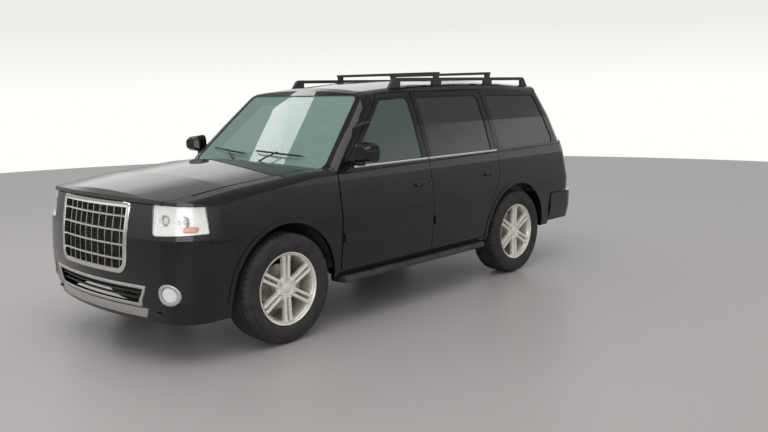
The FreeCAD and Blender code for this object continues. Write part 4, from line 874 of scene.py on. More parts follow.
borderSection = ((0.0, -0.0005), (0.0, 0.0), (borderLook["width"], 0.0), (borderLook["width"], -0.0005))
addPiece("screenBorder", frameForm(filled(cornerLoop(borderLook["corners"])), offset(screenPoint, borderLook["under"]),
                                   borderSection), "trim", smooth=40.0)
for name, start, end, pivotX in wiperLook["blades"]:
    blade = [bladePoint(start, end, k / 10, 0.010) for k in range(11)]
    spine = [bladePoint(start, end, k / 10 * 0.9 + 0.05, 0.021) for k in range(11)]
    middle = bladePoint(start, end, 0.5, 0.026)
    pivot = screenPoint(pivotX, wiperLook["pivotHeight"], 0.022)
    arm = curved([pivot, pivot + (middle - pivot) * 0.3 + Vector((0, -0.004, 0.006)),
                  middle + Vector((0, -0.001, 0.002)), middle], 5)
    addPiece(name, merged(tubeForm(blade, 0.0035, 8), tubeForm(spine, 0.0045, 8),
                          tubeForm(arm, [0.008] + [0.006] * (len(arm) - 1), 10),
                          shifted(capForm(wiperLook["knob"], 20, "Z"), *pivot)), "trim", smooth=50.0)
print("wipers built")

# Door furniture: handles in their cups, and belt strips
doorLook = {"length": 0.185, "height": 0.026, "out": 0.034, "level": 1.012, "cup": (0.062, 0.028), "belt": 1.222,
            "beltSection": ((-0.004, 0.009), (0.0045, 0.006), (0.0065, -0.002), (0.0045, -0.010), (-0.004, -0.011)),
            # bodies, handle, start and end of the belt strip
            "doors": {"Front": (frontDoors, 1.515, 0.735, 1.634), "Rear": (rearDoors, 2.505, 1.650, 2.648)}}


def handleForm(y, steps=16):
    look = doorLook
    rings = []
    for k in range(steps + 1):
        part = k / steps
        arch = math.sin(math.pi * part)
        half = look["height"] / 2 * (0.72 + 0.28 * arch)
        place = sidePoint(y - look["length"] * (0.5 - part), look["level"],
                          0.006 + look["out"] * min(1.0, arch * 2.2) ** 0.8)
        if k in (0, steps):  # the ends sink into the door
            place.x -= 0.008
        rings.append([place + Vector((a, 0, b)) for a, b in ovalLoop(0, 0, 0.0075, half, 12)])
    return loftForm(rings)


for label, (bodies, handleY, start, end) in doorLook["doors"].items():
    onBothSides("doorHandle" + label, handleForm(handleY), "paint", bodies, smooth=60.0)
    cup = raisedForm(ovalLoop(handleY, doorLook["level"], *doorLook["cup"], 28), sidePoint, 0.0015, 0.001)
    onBothSides("handleCup" + label, cup, "trim", bodies, smooth=40.0)
    strip = loftForm([[sidePoint(start + (end - start) * k / 6, doorLook["belt"]) + Vector((dx, 0, dz))
                       for dx, dz in doorLook["beltSection"]] for k in range(7)])
    onBothSides("beltStrip" + label, strip, "chrome", bodies, smooth=50.0)
print("door furniture built")

# Seats: each cushion is swelled by a cloth simulation, then sewn in along its seams
seatLook = {"half": 0.258, "voxel": 0.014, "cap": 0.012, "pressure": 4.0, "frames": 16, "seam": 0.007,
            "seamWidth": 0.010, "centre": 0.400, "rearShift": 0.870, "rearHalf": 0.645, "rearHead": 0.42,
            # part of the length, top, drawn in
            "cushion": ((0.0, 0.815, 0.025), (0.025, 0.842, 0.010), (0.10, 0.862, 0.0), (0.30, 0.862, 0.0),
                        (0.60, 0.850, 0.0), (0.85, 0.842, 0.0), (1.0, 0.838, 0.004)),
            # part of the height, width, depth
            "back": ((0.0, 0.93, 0.038), (0.04, 0.97, 0.050), (0.25, 1.0, 0.054), (0.50, 0.99, 0.052),
                     (0.70, 0.94, 0.048), (0.86, 0.84, 0.043), (0.95, 0.76, 0.034), (1.0, 0.70, 0.020)),
            # height, half width, depth, lean
            "head": ((1.482, 0.098, 0.028, -0.004), (1.500, 0.112, 0.040, 0.0), (1.545, 0.120, 0.046, 0.006),
                     (1.590, 0.118, 0.045, 0.014), (1.615, 0.108, 0.038, 0.019), (1.628, 0.090, 0.024, 0.022)),
            # height, wider by
            "base": ((0.5405, 0.0), (0.580, -0.012), (0.640, -0.030), (0.700, -0.016), (0.757, 0.0))}


def evaluatedMesh(thing):
    return bpy.data.meshes.new_from_object(thing.evaluated_get(bpy.context.evaluated_depsgraph_get()))


def swelled(form):
    pad = linked("padShape", meshOf("padShape", form, False))
    remesh = pad.modifiers.new("even", "REMESH")
    remesh.mode = "VOXEL"
    remesh.voxel_size = seatLook["voxel"]
    mesh = evaluatedMesh(pad)
    pad.modifiers.clear()
    pad.data = mesh
    rest = [v.co.copy() for v in mesh.vertices]
    cloth = pad.modifiers.new("cloth", "CLOTH")
    cloth.settings.use_pressure = True
    cloth.settings.uniform_pressure_force = seatLook["pressure"]
    cloth.settings.effector_weights.gravity = 0.0
    cloth.settings.quality = 4
    cloth.collision_settings.use_collision = False
    cloth.point_cache.frame_end = seatLook["frames"]
    for number in range(1, seatLook["frames"] + 1):
        bpy.context.scene.frame_set(number)
    swollen = evaluatedMesh(pad)
    pad.modifiers.clear()
    pad.data = swollen
    for vertex, start in zip(swollen.vertices, rest):
        move = vertex.co - start
        if move.length > seatLook["cap"]:
            vertex.co = start + move * (seatLook["cap"] / move.length)
    bpy.context.scene.frame_set(1)
    smooth = pad.modifiers.new("smooth", "SMOOTH")
    smooth.factor, smooth.iterations = 0.5, 4
    finer = pad.modifiers.new("finer", "SUBSURF")
    finer.levels = 1
    shape = evaluatedMesh(pad)
    bpy.data.objects.remove(pad)
    return shape


def sewn(shape, seams, facing):  # seams are functions that give a point's distance from the seam
    out = []
    for vertex in shape.vertices:
        point, normal = vertex.co.copy(), vertex.normal.copy()
        depth = 0.0
        if normal.dot(facing) > 0.25:
            depth = max(math.exp(-(seam(point) / seatLook["seamWidth"]) ** 2) for seam in seams)
        out.append(point - normal * depth * seatLook["seam"])
    return out, [tuple(p.vertices) for p in shape.polygons]


# The order of the sums in these pads matters: remesh and cloth follow the last digit
def crownRow(lift, edge):  # across a pad: part of the half width, rise of the bolster, drop of the edge
    row = []
    for k in range(13):
        u = 2 * k / 12 - 1
        rise = math.exp(-((abs(u) - 0.86) / 0.14) ** 2) * lift
        row.append((u, rise, edge * max(0.0, (abs(u) - 0.9) / 0.1) ** 2))
    return row


def cushionForm(half, lift, start=1.038, end=1.505, bottom=0.748, edge=0.035):
    rings = []
    for part, top, thin in seatLook["cushion"]:
        y, wide, low = frontAxle + start + (end - start) * part, half - thin, bottom + thin
        ring = [Vector((u * wide, y, top + rise + (1 - u * u) * 0.010 - drop))
                for u, rise, drop in crownRow(lift, edge)]
        ring += [Vector((wide * u, y, z)) for u, z in ((0.985, low + edge), (0.93, low), (-0.93, low),
                                                       (-0.985, low + edge))]
        rings.append(ring)
    return loftForm(rings)


def backForm(half, lift):
    foot, top = fromAxle(0, 1.525, 0.800), fromAxle(0, 1.652, 1.432)
    along = (top - foot).normalized()
    front = Vector((0, -along.z, along.y))
    rings = []
    for part, width, deep in seatLook["back"]:
        place = foot.lerp(top, part)
        ring = [place + Vector((u * half * width, 0, 0)) + front * (deep + rise * (1 - part * 0.6) - drop)
                for u, rise, drop in crownRow(lift, 0.020)]
        ring += [place + Vector((half * width * u, 0, 0)) - front * deep * rear
                 for u, rear in ((0.985, 0.4), (0.90, 0.95), (-0.90, 0.95), (-0.985, 0.4))]
        rings.append(ring)
    return loftForm(rings)


def headrestForm():
    rings = []
    for z, half, deep, lean in seatLook["head"]:
        ring = []
        for c, s in ovalLoop(0, 0, 1, 1, 20):
            ring.append(Vector((half * math.copysign(abs(c) ** 0.55, c),
                                frontAxle + 1.655 + lean + deep * math.copysign(abs(s) ** 0.7, s), z)))
        rings.append(ring)
    return loftForm(rings)


def padSeams(edge, level, rows):  # a seam along each side at x = edge, and rows across between them
    seams = [lambda p: abs(abs(p.x) - edge)]
    return seams + [lambda p, row=row: abs(level(p) - row) if abs(p.x) < edge else 1.0 for row in rows]


def postForm(x):
    return merged(*[tubeForm([fromAxle(x + dx, 1.651, 1.395), fromAxle(x + dx, 1.655, 1.500)], 0.006, 12)
                    for dx in (-0.055, 0.055)])


def baseForm(half, start, end):
    rings = []
    for z, grow in seatLook["base"]:
        low, high, width = start - grow * 0.6, end + grow * 0.6, half + grow
        rings.append([fromAxle(sx * width, y, z) for sx, y in ((-1, low), (1, low), (1, high), (-1, high))])
    return loftForm(rings)


def fromFront(p):
    return p.y - frontAxle


up, forwards = Vector((0, 0, 1)), Vector((0, -1, 0.2))
half, rearHalf, rearShift = seatLook["half"], seatLook["rearHalf"], seatLook["rearShift"]
frontCushion = sewn(swelled(cushionForm(half, 0.020)), padSeams(half * 0.66, fromFront, (1.16, 1.27, 1.38)), up)
frontBack = sewn(swelled(backForm(half, 0.022)), padSeams(half * 0.64, lambda p: p.z, (0.99, 1.10, 1.21, 1.31)),
                 forwards)
headPad = sewn(swelled(headrestForm()), [lambda p: abs(p.z - 1.515)], forwards)
benchSeams = [lambda p: abs(abs(p.x) - 0.215), lambda p: abs(abs(p.x) - 0.56)]
rearCushion = sewn(swelled(shifted(cushionForm(rearHalf, 0.010, 1.038, 1.43, 0.752), 0, rearShift)),
                   benchSeams + [lambda p: abs(fromFront(p) - rearShift - 1.20)], up)
rearBack = sewn(swelled(shifted(backForm(rearHalf, 0.010), 0, rearShift)),
                benchSeams + [lambda p: abs(p.z - 1.05), lambda p: abs(p.z - 1.25)], forwards)


def padPiece(name, form):
    piece = addPiece(name, form, "leather", smooth=180.0)
    return piece


for side in (1, -1):
    shift = side * seatLook["centre"]
    padPiece(sideName("frontCushion", side), shifted(frontCushion, shift))
    padPiece(sideName("frontBack", side), shifted(frontBack, shift))
    padPiece(sideName("frontHeadrest", side), shifted(headPad, shift))
    addPiece(sideName("frontSeatBase", side), shifted(baseForm(0.215, 1.10, 1.50), shift), "cabin", smooth=40.0,
             bevel=0.010, levels=3)
    addPiece(sideName("frontHeadrestPosts", side), shifted(postForm(0), shift), "chrome", smooth=60.0)
    rearHead = side * seatLook["rearHead"]
    padPiece(sideName("rearHeadrest", side), shifted(headPad, rearHead, rearShift))
    addPiece(sideName("rearHeadrestPosts", side), shifted(postForm(rearHead), 0, rearShift), "chrome", smooth=60.0)
bench = padPiece("rearCushion", rearCushion)
padPiece("rearBack", rearBack)
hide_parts("seats")
addPiece("rearSeatBase", shifted(baseForm(0.60, 1.10, 1.41), 0, rearShift), "cabin", smooth=40.0, bevel=0.010,
         levels=3)
print("seats built")

# Steering wheel: padded rim, four spokes, centre pad, and a column shroud with stalks
steeringLook = {"centre": (0.400, -0.630, 1.110), "rise": 25.0, "radius": 0.186, "rim": 0.0145, "swell": 0.10,
                "spokes": (20.0, 160.0, 235.0, 305.0),
                # reach, half width, height, depth of a spoke
                "spoke": ((0.030, 0.034, -0.016, 0.012), (0.080, 0.026, -0.014, 0.010),
                          (0.130, 0.016, -0.008, 0.008), (0.180, 0.014, 0.0, 0.007)),
                "pad": ((0.55, -0.030), (0.92, -0.026), (1.0, -0.010), (0.99, 0.004), (0.93, 0.012), (0.80, 0.0155),
                        (0.40, 0.0175)),
                "boss": ((-0.024, 0.0), (-0.024, 0.045), (-0.012, 0.055), (0.0, 0.055), (0.0, 0.0)),
                "shroud": ((0.86, -0.030), (1.0, -0.040), (1.0, -0.120), (0.92, -0.170))}
column = Matrix.Translation(steeringLook["centre"]) @ Matrix.Rotation(math.radians(steeringLook["rise"] - 90.0), 4, "X")


def steeringSpokes():
    spokes = []
    for angle in steeringLook["spokes"]:
        rings = [[(reach, a, z + b) for a, b in ovalLoop(0, 0, half, deep, 12)]
                 for reach, half, z, deep in steeringLook["spoke"]]
        spokes.append(spun(loftForm(rings), math.radians(angle)))
    return merged(*spokes, capForm(steeringLook["boss"], 32, "Z"))


rimRun = [(a, b, 0) for a, b in ovalLoop(0, 0, steeringLook["radius"], steeringLook["radius"], 72)]
rimSizes = [steeringLook["rim"] * (1.0 + steeringLook["swell"] * math.cos(4 * roundTurn * i / 72 + 0.4))
            for i in range(72)]
steeringRim = addPiece("steeringRim", moved(tubeForm(rimRun, rimSizes, 20, True), column), "cabin", "steering_hub",
                       smooth=180.0)
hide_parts("steering_wheel")
addPiece("steeringSpokes", moved(steeringSpokes(), column), "silver", "steering_hub", 50.0)
addPiece("steeringPad", moved(blockForm(0.150, 0.130, 0.045, steeringLook["pad"], 6), column), "cabin",
         "steering_hub", smooth=60.0)
stalks = [tubeForm(curved([(side * x, y, z) for x, y, z in ((0.028, 0, -0.075), (0.090, 0.006, -0.068),
                                                             (0.150, 0.012, -0.052))], 5),
                   [0.006] * 6 + [0.0075] * 5, 10) for side in (1, -1)]
shroud = shifted(blockForm(0.098, 0.112, 0.030, steeringLook["shroud"]), 0, -0.004)
addPiece("columnShroud", moved(merged(shroud, *stalks), column), "cabin", smooth=45.0)
print("steering wheel built")

# Dashboard: instrument hood and dials, centre panel with vents and screen, glove box, console
dashLook = {"face": ((0.905, 0.800), (1.010, 0.838), (1.120, 0.770)),  # height, y of the rear face
            "driver": 0.400, "dialLean": -62.0, "dials": ((-0.082, 0.044), (0.082, 0.044), (0.0, 0.026)), "ticks": 11,
            # y, half width, top, foot of the instrument hood
            "hood": ((0.640, 0.120, 1.150, 1.128), (0.700, 0.160, 1.172, 1.122), (0.770, 0.172, 1.184, 1.110),
                     (0.815, 0.172, 1.182, 1.112)),
            "vents": ((-0.105, 0.036), (0.105, 0.036), (-0.660, 0.062), (0.660, 0.062)),  # x, width
            "knobs": (-0.075, 0.0, 0.075),
            "knob": ((0.0, 0.0), (0.0, 0.019), (0.014, 0.018), (0.016, 0.015), (0.016, 0.0))}


def dashPoint(x, z, out=0.0):  # on the dashboard's rear face
    return fromAxle(x, atHeight(dashLook["face"], z, 1) + out, z)


def dashPad(x, z, width, height, radius, thickness):
    return raisedForm(loopAt(x, z, width, height, radius), dashPoint, thickness, 0.003, 0.006)


def instrumentForms():
    hood = []
    for y, half, top, low in dashLook["hood"]:
        arch = [(math.cos(math.pi * k / 12), math.sin(math.pi * k / 12) ** 0.6) for k in range(13)]
        ring = [fromAxle(0.400 + half * c, y, low + (top - low) * s) for c, s in arch]
        ring += [fromAxle(0.400 + (half - 0.014) * c, y, low - 0.004 + (top - low - 0.008) * s)
                 for c, s in reversed(arch)]
        hood.append(ring)
    dials = []
    for x, radius in dashLook["dials"]:
        ring = ringForm([(0.0, radius), (0.004, radius), (0.005, radius - 0.002), (0.004, radius - 0.004),
                         (0.0, radius - 0.004)], 40, "Z")
        needle = boxForm((-0.001, 0.0, 0.0015), (0.001, radius * 0.72, 0.003))
        dials.append(shifted(merged(ring, spun(needle, 2.2)), x, 0, 0.002))
        tick = boxForm((-0.0006, radius * 0.80, 0.001), (0.0006, radius * 0.90, 0.002))
        dials += [shifted(spun(tick, 2.3 - 4.6 * k / 10), x, 0, 0.002) for k in range(dashLook["ticks"])]
    return loftForm(hood), merged(*dials)


hoodShape, dialShape = instrumentForms()
dialFace = (Matrix.Translation(fromAxle(dashLook["driver"], 0.786, 1.118))
            @ Matrix.Rotation(math.radians(dashLook["dialLean"]), 4, "X"))
panelShape = blockForm(0.290, 0.110, 0.040, ((1.0, -0.016), (1.0, 0.001)))
addPiece("instrumentHood", hoodShape, "cabin", smooth=50.0)
addPiece("instrumentPanel", moved(panelShape, dialFace), "trim", smooth=50.0)
addPiece("instrumentDials", moved(dialShape, dialFace), "silver", smooth=50.0)
vents = [dashPad(x, 1.021 + 0.012 * k, width, 0.005, 0.002, 0.0135) for x, width in dashLook["vents"] for k in range(5)]
knobs = [shifted(capForm(dashLook["knob"], 28, "Y"), *dashPoint(x, 0.945, 0.008)) for x in dashLook["knobs"]]
for name, form, finish in (
        ("centrePanel", dashPad(0.0, 1.000, 0.260, 0.190, 0.020, 0.010), "trim"),
        ("dashScreen", dashPad(0.0, 1.038, 0.160, 0.085, 0.006, 0.0125), "privacyGlass"),
        ("dashVents", merged(*vents), "silver"), ("dashKnobs", merged(*knobs), "silver"),
        ("gloveBox", dashPad(-0.400, 0.985, 0.400, 0.130, 0.025, 0.008), "cabin"),
        ("dashStrip", dashPad(-0.400, 1.068, 0.430, 0.016, 0.006, 0.009), "silver")):
    addPiece(name, form, finish, smooth=40.0)

# Console: padded lid, shifter in its boot, cup holders; and the pedals
consoleLook = {"lid": (1.300, 0.232, 0.290, 0.035), "lidLevels": ((1.0, 0.846), (1.0, 0.880), (1.0, 0.892)),
               "shifterRun": ((0.930, 0.848), (0.950, 0.900), (0.965, 0.945)),
               "grip": ((-0.020, 0.0), (-0.018, 0.014), (0.0, 0.021), (0.016, 0.019), (0.026, 0.010), (0.028, 0.0)),
               "boot": ((1.0, 0.848), (0.96, 0.856), (0.30, 0.884)),
               "cup": ((0.848, 0.036), (0.848, 0.043), (0.855, 0.043), (0.856, 0.040), (0.855, 0.036)),
               "pedals": ((0.500, 0.028, 0.600, 0.720), (0.385, 0.048, 0.660, 0.730))}  # x, half width, low, high
lidY, lidWidth, lidDepth, lidRadius = consoleLook["lid"]
consoleLid = shifted(blockForm(lidWidth, lidDepth, lidRadius, consoleLook["lidLevels"]), 0, frontAxle + lidY)
addPiece("consoleLid", consoleLid, "leather", smooth=40.0, bevel=0.006, levels=3)
shifter = merged(tubeForm(curved([fromAxle(0, y, z) for y, z in consoleLook["shifterRun"]], 5), 0.007, 12),
                 shifted(capForm(consoleLook["grip"], 28, "Z"), *fromAxle(0, 0.968, 0.958)),
                 shifted(blockForm(0.085, 0.130, 0.02, consoleLook["boot"], 4), 0, frontAxle + 0.930))
addPiece("shifter", shifter, "trim", smooth=45.0)
cups = [shifted(ringForm(consoleLook["cup"], 36, "Z"), *fromAxle(x, 1.085, 0)) for x in (-0.048, 0.048)]
addPiece("cupHolders", merged(*cups), "silver", smooth=45.0)
pedals = []
for x, half, low, high in consoleLook["pedals"]:
    pedals.append(loftForm([[fromAxle(x + u, 0.560 + (z - low) * 0.30 + v, z)
                             for u, v in roundedLoop(2 * half, 0.014, 0.005, 3)] for z in (low, high)]))
    pedals.append(tubeForm([fromAxle(x, 0.580, (low + high) / 2), fromAxle(x, 0.475, high + 0.100)], 0.007, 10))
addPiece("pedals", merged(*pedals), "trim", smooth=45.0, bevel=0.003)
print("dashboard finished")

# Inner door panels: card, padded insert, armrest, inner handle, speaker and pocket
cardRows = ((0.240, 0.905), (0.440, 0.965), (0.860, 1.000), (1.290, 0.925))  # height, half width outside
cardLook = {"depth": 0.096, "panel": 0.010, "insert": 0.018, "speaker": 0.076, "pull": (0.110, 0.028, 0.012),
            # how far out and how high each place of a bar's section is
            "arm": ((0.0, 0.825), (0.048, 0.831), (0.060, 0.847), (0.060, 0.874), (0.052, 0.882), (0.0, 0.882)),
            "pocket": ((0.0, 0.530), (0.0224, 0.538), (0.028, 0.560), (0.028, 0.655), (0.022, 0.655), (0.020, 0.600),
                       (0.0, 0.590)),
            # part of a bar's length, how full its section is there
            "ends": ((0.0, 0.35), (0.025, 0.75), (0.08, 1.0), (0.5, 1.0), (0.92, 1.0), (0.975, 0.8), (1.0, 0.4))}
cardSides = {
    "Front": {"bodies": frontDoors,
              "outline": ((0.66, 0.51, 0.04), (1.54, 0.51, 0.06), (1.54, 1.175, 0.03), (0.92, 1.175, 0.04),
                          (0.89, 0.80, 0.05), (0.66, 0.75, 0.03)),
              "insert": (1.215, 1.000, 0.54, 0.180), "arm": (0.95, 1.46), "handle": (1.010, 1.095),
              "speaker": (0.79, 0.625), "pocket": (0.92, 1.48)},
    "Rear": {"bodies": rearDoors,
             "outline": ((1.74, 0.51, 0.05), (2.36, 0.51, 0.06), (2.42, 0.80, 0.10), (2.42, 1.175, 0.03),
                         (1.74, 1.175, 0.03)),
             "insert": (2.080, 1.000, 0.50, 0.180), "arm": (1.82, 2.34), "handle": (1.875, 1.095),
             "speaker": (1.845, 0.620), "pocket": (1.96, 2.33)},
}


def cardPoint(y, z, out=0.0, depth=cardLook["depth"]):  # on the inner face of a door
    return fromAxle(atHeight(cardRows, z, 1) - depth - out, y, z)


def cardBar(start, end, section):  # a bar along the card, its ends drawn in
    return loftForm([[cardPoint(start + (end - start) * part, z, out * full) for out, z in section]
                     for part, full in cardLook["ends"]])


for label, look in cardSides.items():
    ring = ovalLoop(*look["speaker"], cardLook["speaker"], cardLook["speaker"], 36)
    speaker = merged(raisedForm(scaled(ring, 0.88), cardPoint, 0.013, 0.002, 0.0),
                     bandForm(ring, cardPoint, 0.010, 0.017, 0.0))
    card = raisedForm(filled(roundedCorners(look["outline"])), cardPoint, cardLook["panel"], 0.004, 0.002)
    insert = raisedForm(filled(loopAt(*look["insert"], 0.04)), cardPoint, cardLook["insert"], 0.006, 0.0)
    pull = raisedForm(loopAt(*look["handle"], *cardLook["pull"]), cardPoint, 0.026, 0.004, 0.0)
    for name, form, finish, smooth, bevel in (
            ("doorCard", card, "cabin", 35.0, 0.0), ("doorInsert", insert, "leather", 60.0, 0.0),
            ("doorArmrest", cardBar(*look["arm"], cardLook["arm"]), "leather", 50.0, 0.004),
            ("doorPocket", cardBar(*look["pocket"], cardLook["pocket"]), "cabin", 50.0, 0.0),
            ("doorPull", pull, "silver", 50.0, 0.0), ("doorSpeaker", speaker, "trim", 40.0, 0.0)):
        onBothSides(name + label, form, finish, look["bodies"], smooth=smooth, bevel=bevel)
print("door panels built")

# Door mirrors: glass in each housing's rear face
mirrorLook = {"outline": (1.098, 1.340, 0.176, 0.112, 0.030), "rear": 0.7505}


def mirrorPoint(u, v, out=0.0):
    return fromAxle(u, mirrorLook["rear"] + out, v)


onBothSides("mirrorGlass", raisedForm(loopAt(*mirrorLook["outline"]), mirrorPoint, 0.003, 0.001), "mirror", frontDoors,
            smooth=40.0)

# Ceiling: headliner, visors, lamp, grab handles and mirror
ceilingLook = {"rows": ((0.200, 1.642), (1.150, 1.826), (1.750, 1.872), (2.400, 1.884), (3.100, 1.878),
                        (4.100, 1.829)),  # y, height of the roof
               "depth": 0.042, "half": 0.560, "bend": 0.030, "bendHalf": 0.528, "start": 1.12, "end": 3.58,
               "cloth": 0.008, "visor": (0.310, 1.225, 0.400, 0.150, 0.030), "lamp": (0.0, 1.80, 0.170, 0.110, 0.030),
               "grips": {"Front": 1.42, "Rear": 2.30},
               "grip": ((0.545, -0.105, 0.004), (0.548, -0.090, 0.036), (0.548, -0.040, 0.046), (0.548, 0.040, 0.046),
                        (0.548, 0.090, 0.036), (0.545, 0.105, 0.004))}
cabinMirrorLook = {"place": (0.0, 1.010, 1.662), "lean": -8.0, "stalk": (0.012, 0.008),
                   "housing": ((0.55, 0.020), (0.90, 0.014), (1.0, 0.0), (0.98, -0.008)),
                   "glass": ((1.0, -0.006), (1.0, -0.0095))}


def ceilingPoint(x, y, out=0.0):  # out is downwards
    look = ceilingLook
    level = atHeight(look["rows"], y, 1) - look["depth"] - look["bend"] * (x / look["bendHalf"]) ** 2
    return fromAxle(x, y, level - 0.001 - out)


def headlinerForm():
    look = ceilingLook
    across = [look["half"] * (i / 6 - 1) for i in range(13)]
    rings = []
    for k in range(25):
        y = look["start"] + (look["end"] - look["start"]) * k / 24
        rings.append([ceilingPoint(x, y) for x in across]
                     + [ceilingPoint(x, y, look["cloth"]) for x in reversed(across)])
    return loftForm(rings)


addPiece("headliner", headlinerForm(), "pale", smooth=60.0)
visor = raisedForm(filled(loopAt(*ceilingLook["visor"])), offset(ceilingPoint, 0.008), 0.020, 0.005, 0.0)
onBothSides("sunVisor", visor, "pale", smooth=60.0)
domeLamp = raisedForm(loopAt(*ceilingLook["lamp"]), offset(ceilingPoint, 0.006), 0.018, 0.005, 0.0)
addPiece("domeLamp", domeLamp, "whiteLamp", smooth=60.0)
for label, y in ceilingLook["grips"].items():
    grip = [ceilingPoint(x, y + dy, out) for x, dy, out in ceilingLook["grip"]]
    onBothSides("grabHandle" + label, tubeForm(curved(grip, 4), 0.008, 10), "pale", smooth=60.0)
facingBack = (Matrix.Translation(fromAxle(*cabinMirrorLook["place"]))
              @ Matrix.Rotation(math.radians(90.0 + cabinMirrorLook["lean"]), 4, "X"))
housing = moved(blockForm(0.245, 0.074, 0.030, cabinMirrorLook["housing"]), facingBack)
stalk = tubeForm([screenPoint(0.0, 1.712, -0.014), fromAxle(0.0, 1.000, 1.668)], cabinMirrorLook["stalk"], 12)
addPiece("cabinMirror", merged(housing, stalk), "trim", smooth=50.0)
mirrorSheet = blockForm(0.234, 0.064, 0.026, cabinMirrorLook["glass"])
addPiece("cabinMirrorGlass", moved(mirrorSheet, facingBack), "mirror", smooth=50.0)
print("ceiling built")

# Carpet on the floor, beside the tunnel and in the luggage space
carpetLook = {"floor": 0.5402, "cargo": 0.7002, "pile": 0.008, "half": 0.795, "tunnel": 0.173, "cargoHalf": 0.630,
              "mats": ((0.780, 0.44), (1.760, 0.34)), "matWidth": 0.46, "matSide": 0.430,  # y, depth
              "matLevels": ((1.0, 0.5475), (1.0, 0.5530), (0.985, 0.5545))}


def carpetForms():
    look = carpetLook

    def strip(fromX, toX, fromY, toY, floor):
        return boxForm(fromAxle(fromX, fromY, floor), fromAxle(toX, toY, floor + look["pile"]))

    side = strip(look["tunnel"], look["half"], 0.475, 2.290, look["floor"])
    middle = strip(-look["tunnel"], look["tunnel"], 1.490, 2.290, look["floor"])
    cargo = strip(-look["cargoHalf"], look["cargoHalf"], 2.590, 3.890, look["cargo"])
    return merged(side, mirroredForm(side), middle, cargo)


addPiece("carpet", carpetForms(), "carpet", smooth=40.0, bevel=0.003)
mats = [shifted(blockForm(carpetLook["matWidth"], depth, 0.05, carpetLook["matLevels"]), *fromAxle(x, y, 0))
        for x in (carpetLook["matSide"], -carpetLook["matSide"]) for y, depth in carpetLook["mats"]]
addPiece("floorMats", merged(*mats), "carpet", smooth=40.0)
print("carpet laid")

# Side trim of the luggage space, from the rear doors to the liftgate
trimLook = {"depth": 0.132, "thickness": 0.009,
            "outline": ((2.735, 0.715, 0.03), (3.850, 0.715, 0.03), (3.835, 1.190, 0.03), (2.735, 1.190, 0.03)),
            "pocket": ((3.400, 0.800, 0.03), (3.740, 0.800, 0.03), (3.740, 1.020, 0.03), (3.400, 1.020, 0.03)),
            "section": ((0.0, 0.0), (0.0, 0.012), (0.004, 0.015), (0.016, 0.015), (0.020, 0.012), (0.020, 0.0))}


def trimPoint(y, z, out=0.0):
    return cardPoint(y, z, out, trimLook["depth"])


onBothSides("cargoTrim", raisedForm(filled(roundedCorners(trimLook["outline"])), trimPoint, trimLook["thickness"],
                                    0.004, 0.002), "cabin")
onBothSides("cargoPocket", frameForm(filled(roundedCorners(trimLook["pocket"])), trimPoint, trimLook["section"]),
            "trim")
print("luggage space trimmed")

# Tail: plate in its frame, handle bar, high brake lamp, wiper and lamp cells; fuel door and exhaust tip
tailLook = {"plateFrame": (0.0, 0.852, 0.325, 0.175, 0.018),
            # outline, finish, thickness, edge, smoothing
            "plates": {"blankPlate": ((0.0, 0.852, 0.305, 0.155, 0.012), "blank", 0.003, 0.001, 40.0),
                       "gateHandle": ((0.0, 0.985, 0.620, 0.042, 0.018), "chrome", 0.022, 0.008, 50.0),
                       "highBrakeLamp": ((0.0, 1.775, 0.300, 0.020, 0.008), "redLamp", 0.005, 0.002, 50.0)},
            "wiperArm": ((0.060, 1.236, 0.022), (0.020, 1.245, 0.028), (-0.080, 1.270, 0.022), (-0.155, 1.298, 0.012)),
            "knob": ((-0.012, 0.0), (-0.012, 0.017), (0.024, 0.015), (0.030, 0.010), (0.030, 0.0)),
            "corners": (0.150, 0.180, 0.190, 0.190, 0.175, 0.160),  # corner radii of the rear, row by row
            "cells": (("reverseLamp", 1.035, 1.105, "whiteLamp", "clear_glass"),
                      ("turnLamp", 0.955, 1.015, "amberLamp", "lamp_red")),
            "fuelDoor": (3.300, 1.050, 0.165, 0.165, 0.030),
            "tip": ((-0.095, 0.0302), (0.012, 0.0308), (0.015, 0.0295), (0.012, 0.0270), (-0.095, 0.0265))}
tailRows = tuple((z, half, rear, corner) for (z, half, _, _, rear), corner in zip(lowerRows, tailLook["corners"]))


def tailPoint(x, z, out=0.0):  # on the rear, round its corners too
    half, rear, corner = (atHeight(tailRows, z, column) for column in (1, 2, 3))
    return fromAxle(x, rear - bowDepth(x, half, corner, lowerRearCurve) + out, z)


addPiece("plateFrame", bandForm(filled(loopAt(*tailLook["plateFrame"]), 0.03), rearPoint, 0.016, 0.006), "trim",
         "liftgate_lid", smooth=40.0)
for name, (outline, finish, thickness, edge, smooth) in tailLook["plates"].items():
    addPiece(name, raisedForm(filled(loopAt(*outline), 0.03), rearPoint, thickness, edge), finish, "liftgate_lid",
             smooth=smooth)
bladeRun = [rearPoint(0.030 - 0.370 * k / 10, 1.275 + 0.045 * k / 10, 0.004) for k in range(11)]
armRun = curved([rearPoint(*place) for place in tailLook["wiperArm"]], 5)
knob = shifted(capForm(tailLook["knob"], 20, "Y"), *rearPoint(*tailLook["wiperArm"][0][:2]))
addPiece("rearWiper", merged(tubeForm(bladeRun, 0.0045, 8), tubeForm(armRun, 0.006, 10), knob), "trim", "liftgate_lid",
         smooth=50.0)
for name, low, high, finish, slot in tailLook["cells"]:
    corners = ((0.806, low, 0.008), (0.905, low, 0.008), (0.905, high, 0.008), (0.804, high, 0.008))
    cell = raisedForm(filled(roundedCorners(corners, 3), 0.02), tailPoint, 0.0016, 0.0008, 0.002)
    onBothSides(name, cell, finish, smooth=40.0)
fuelDoor = mirroredForm(raisedForm(loopAt(*tailLook["fuelDoor"]), sidePoint, 0.0015, 0.0008, 0.002))
addPiece("fuelDoor", fuelDoor, "paint", smooth=40.0)
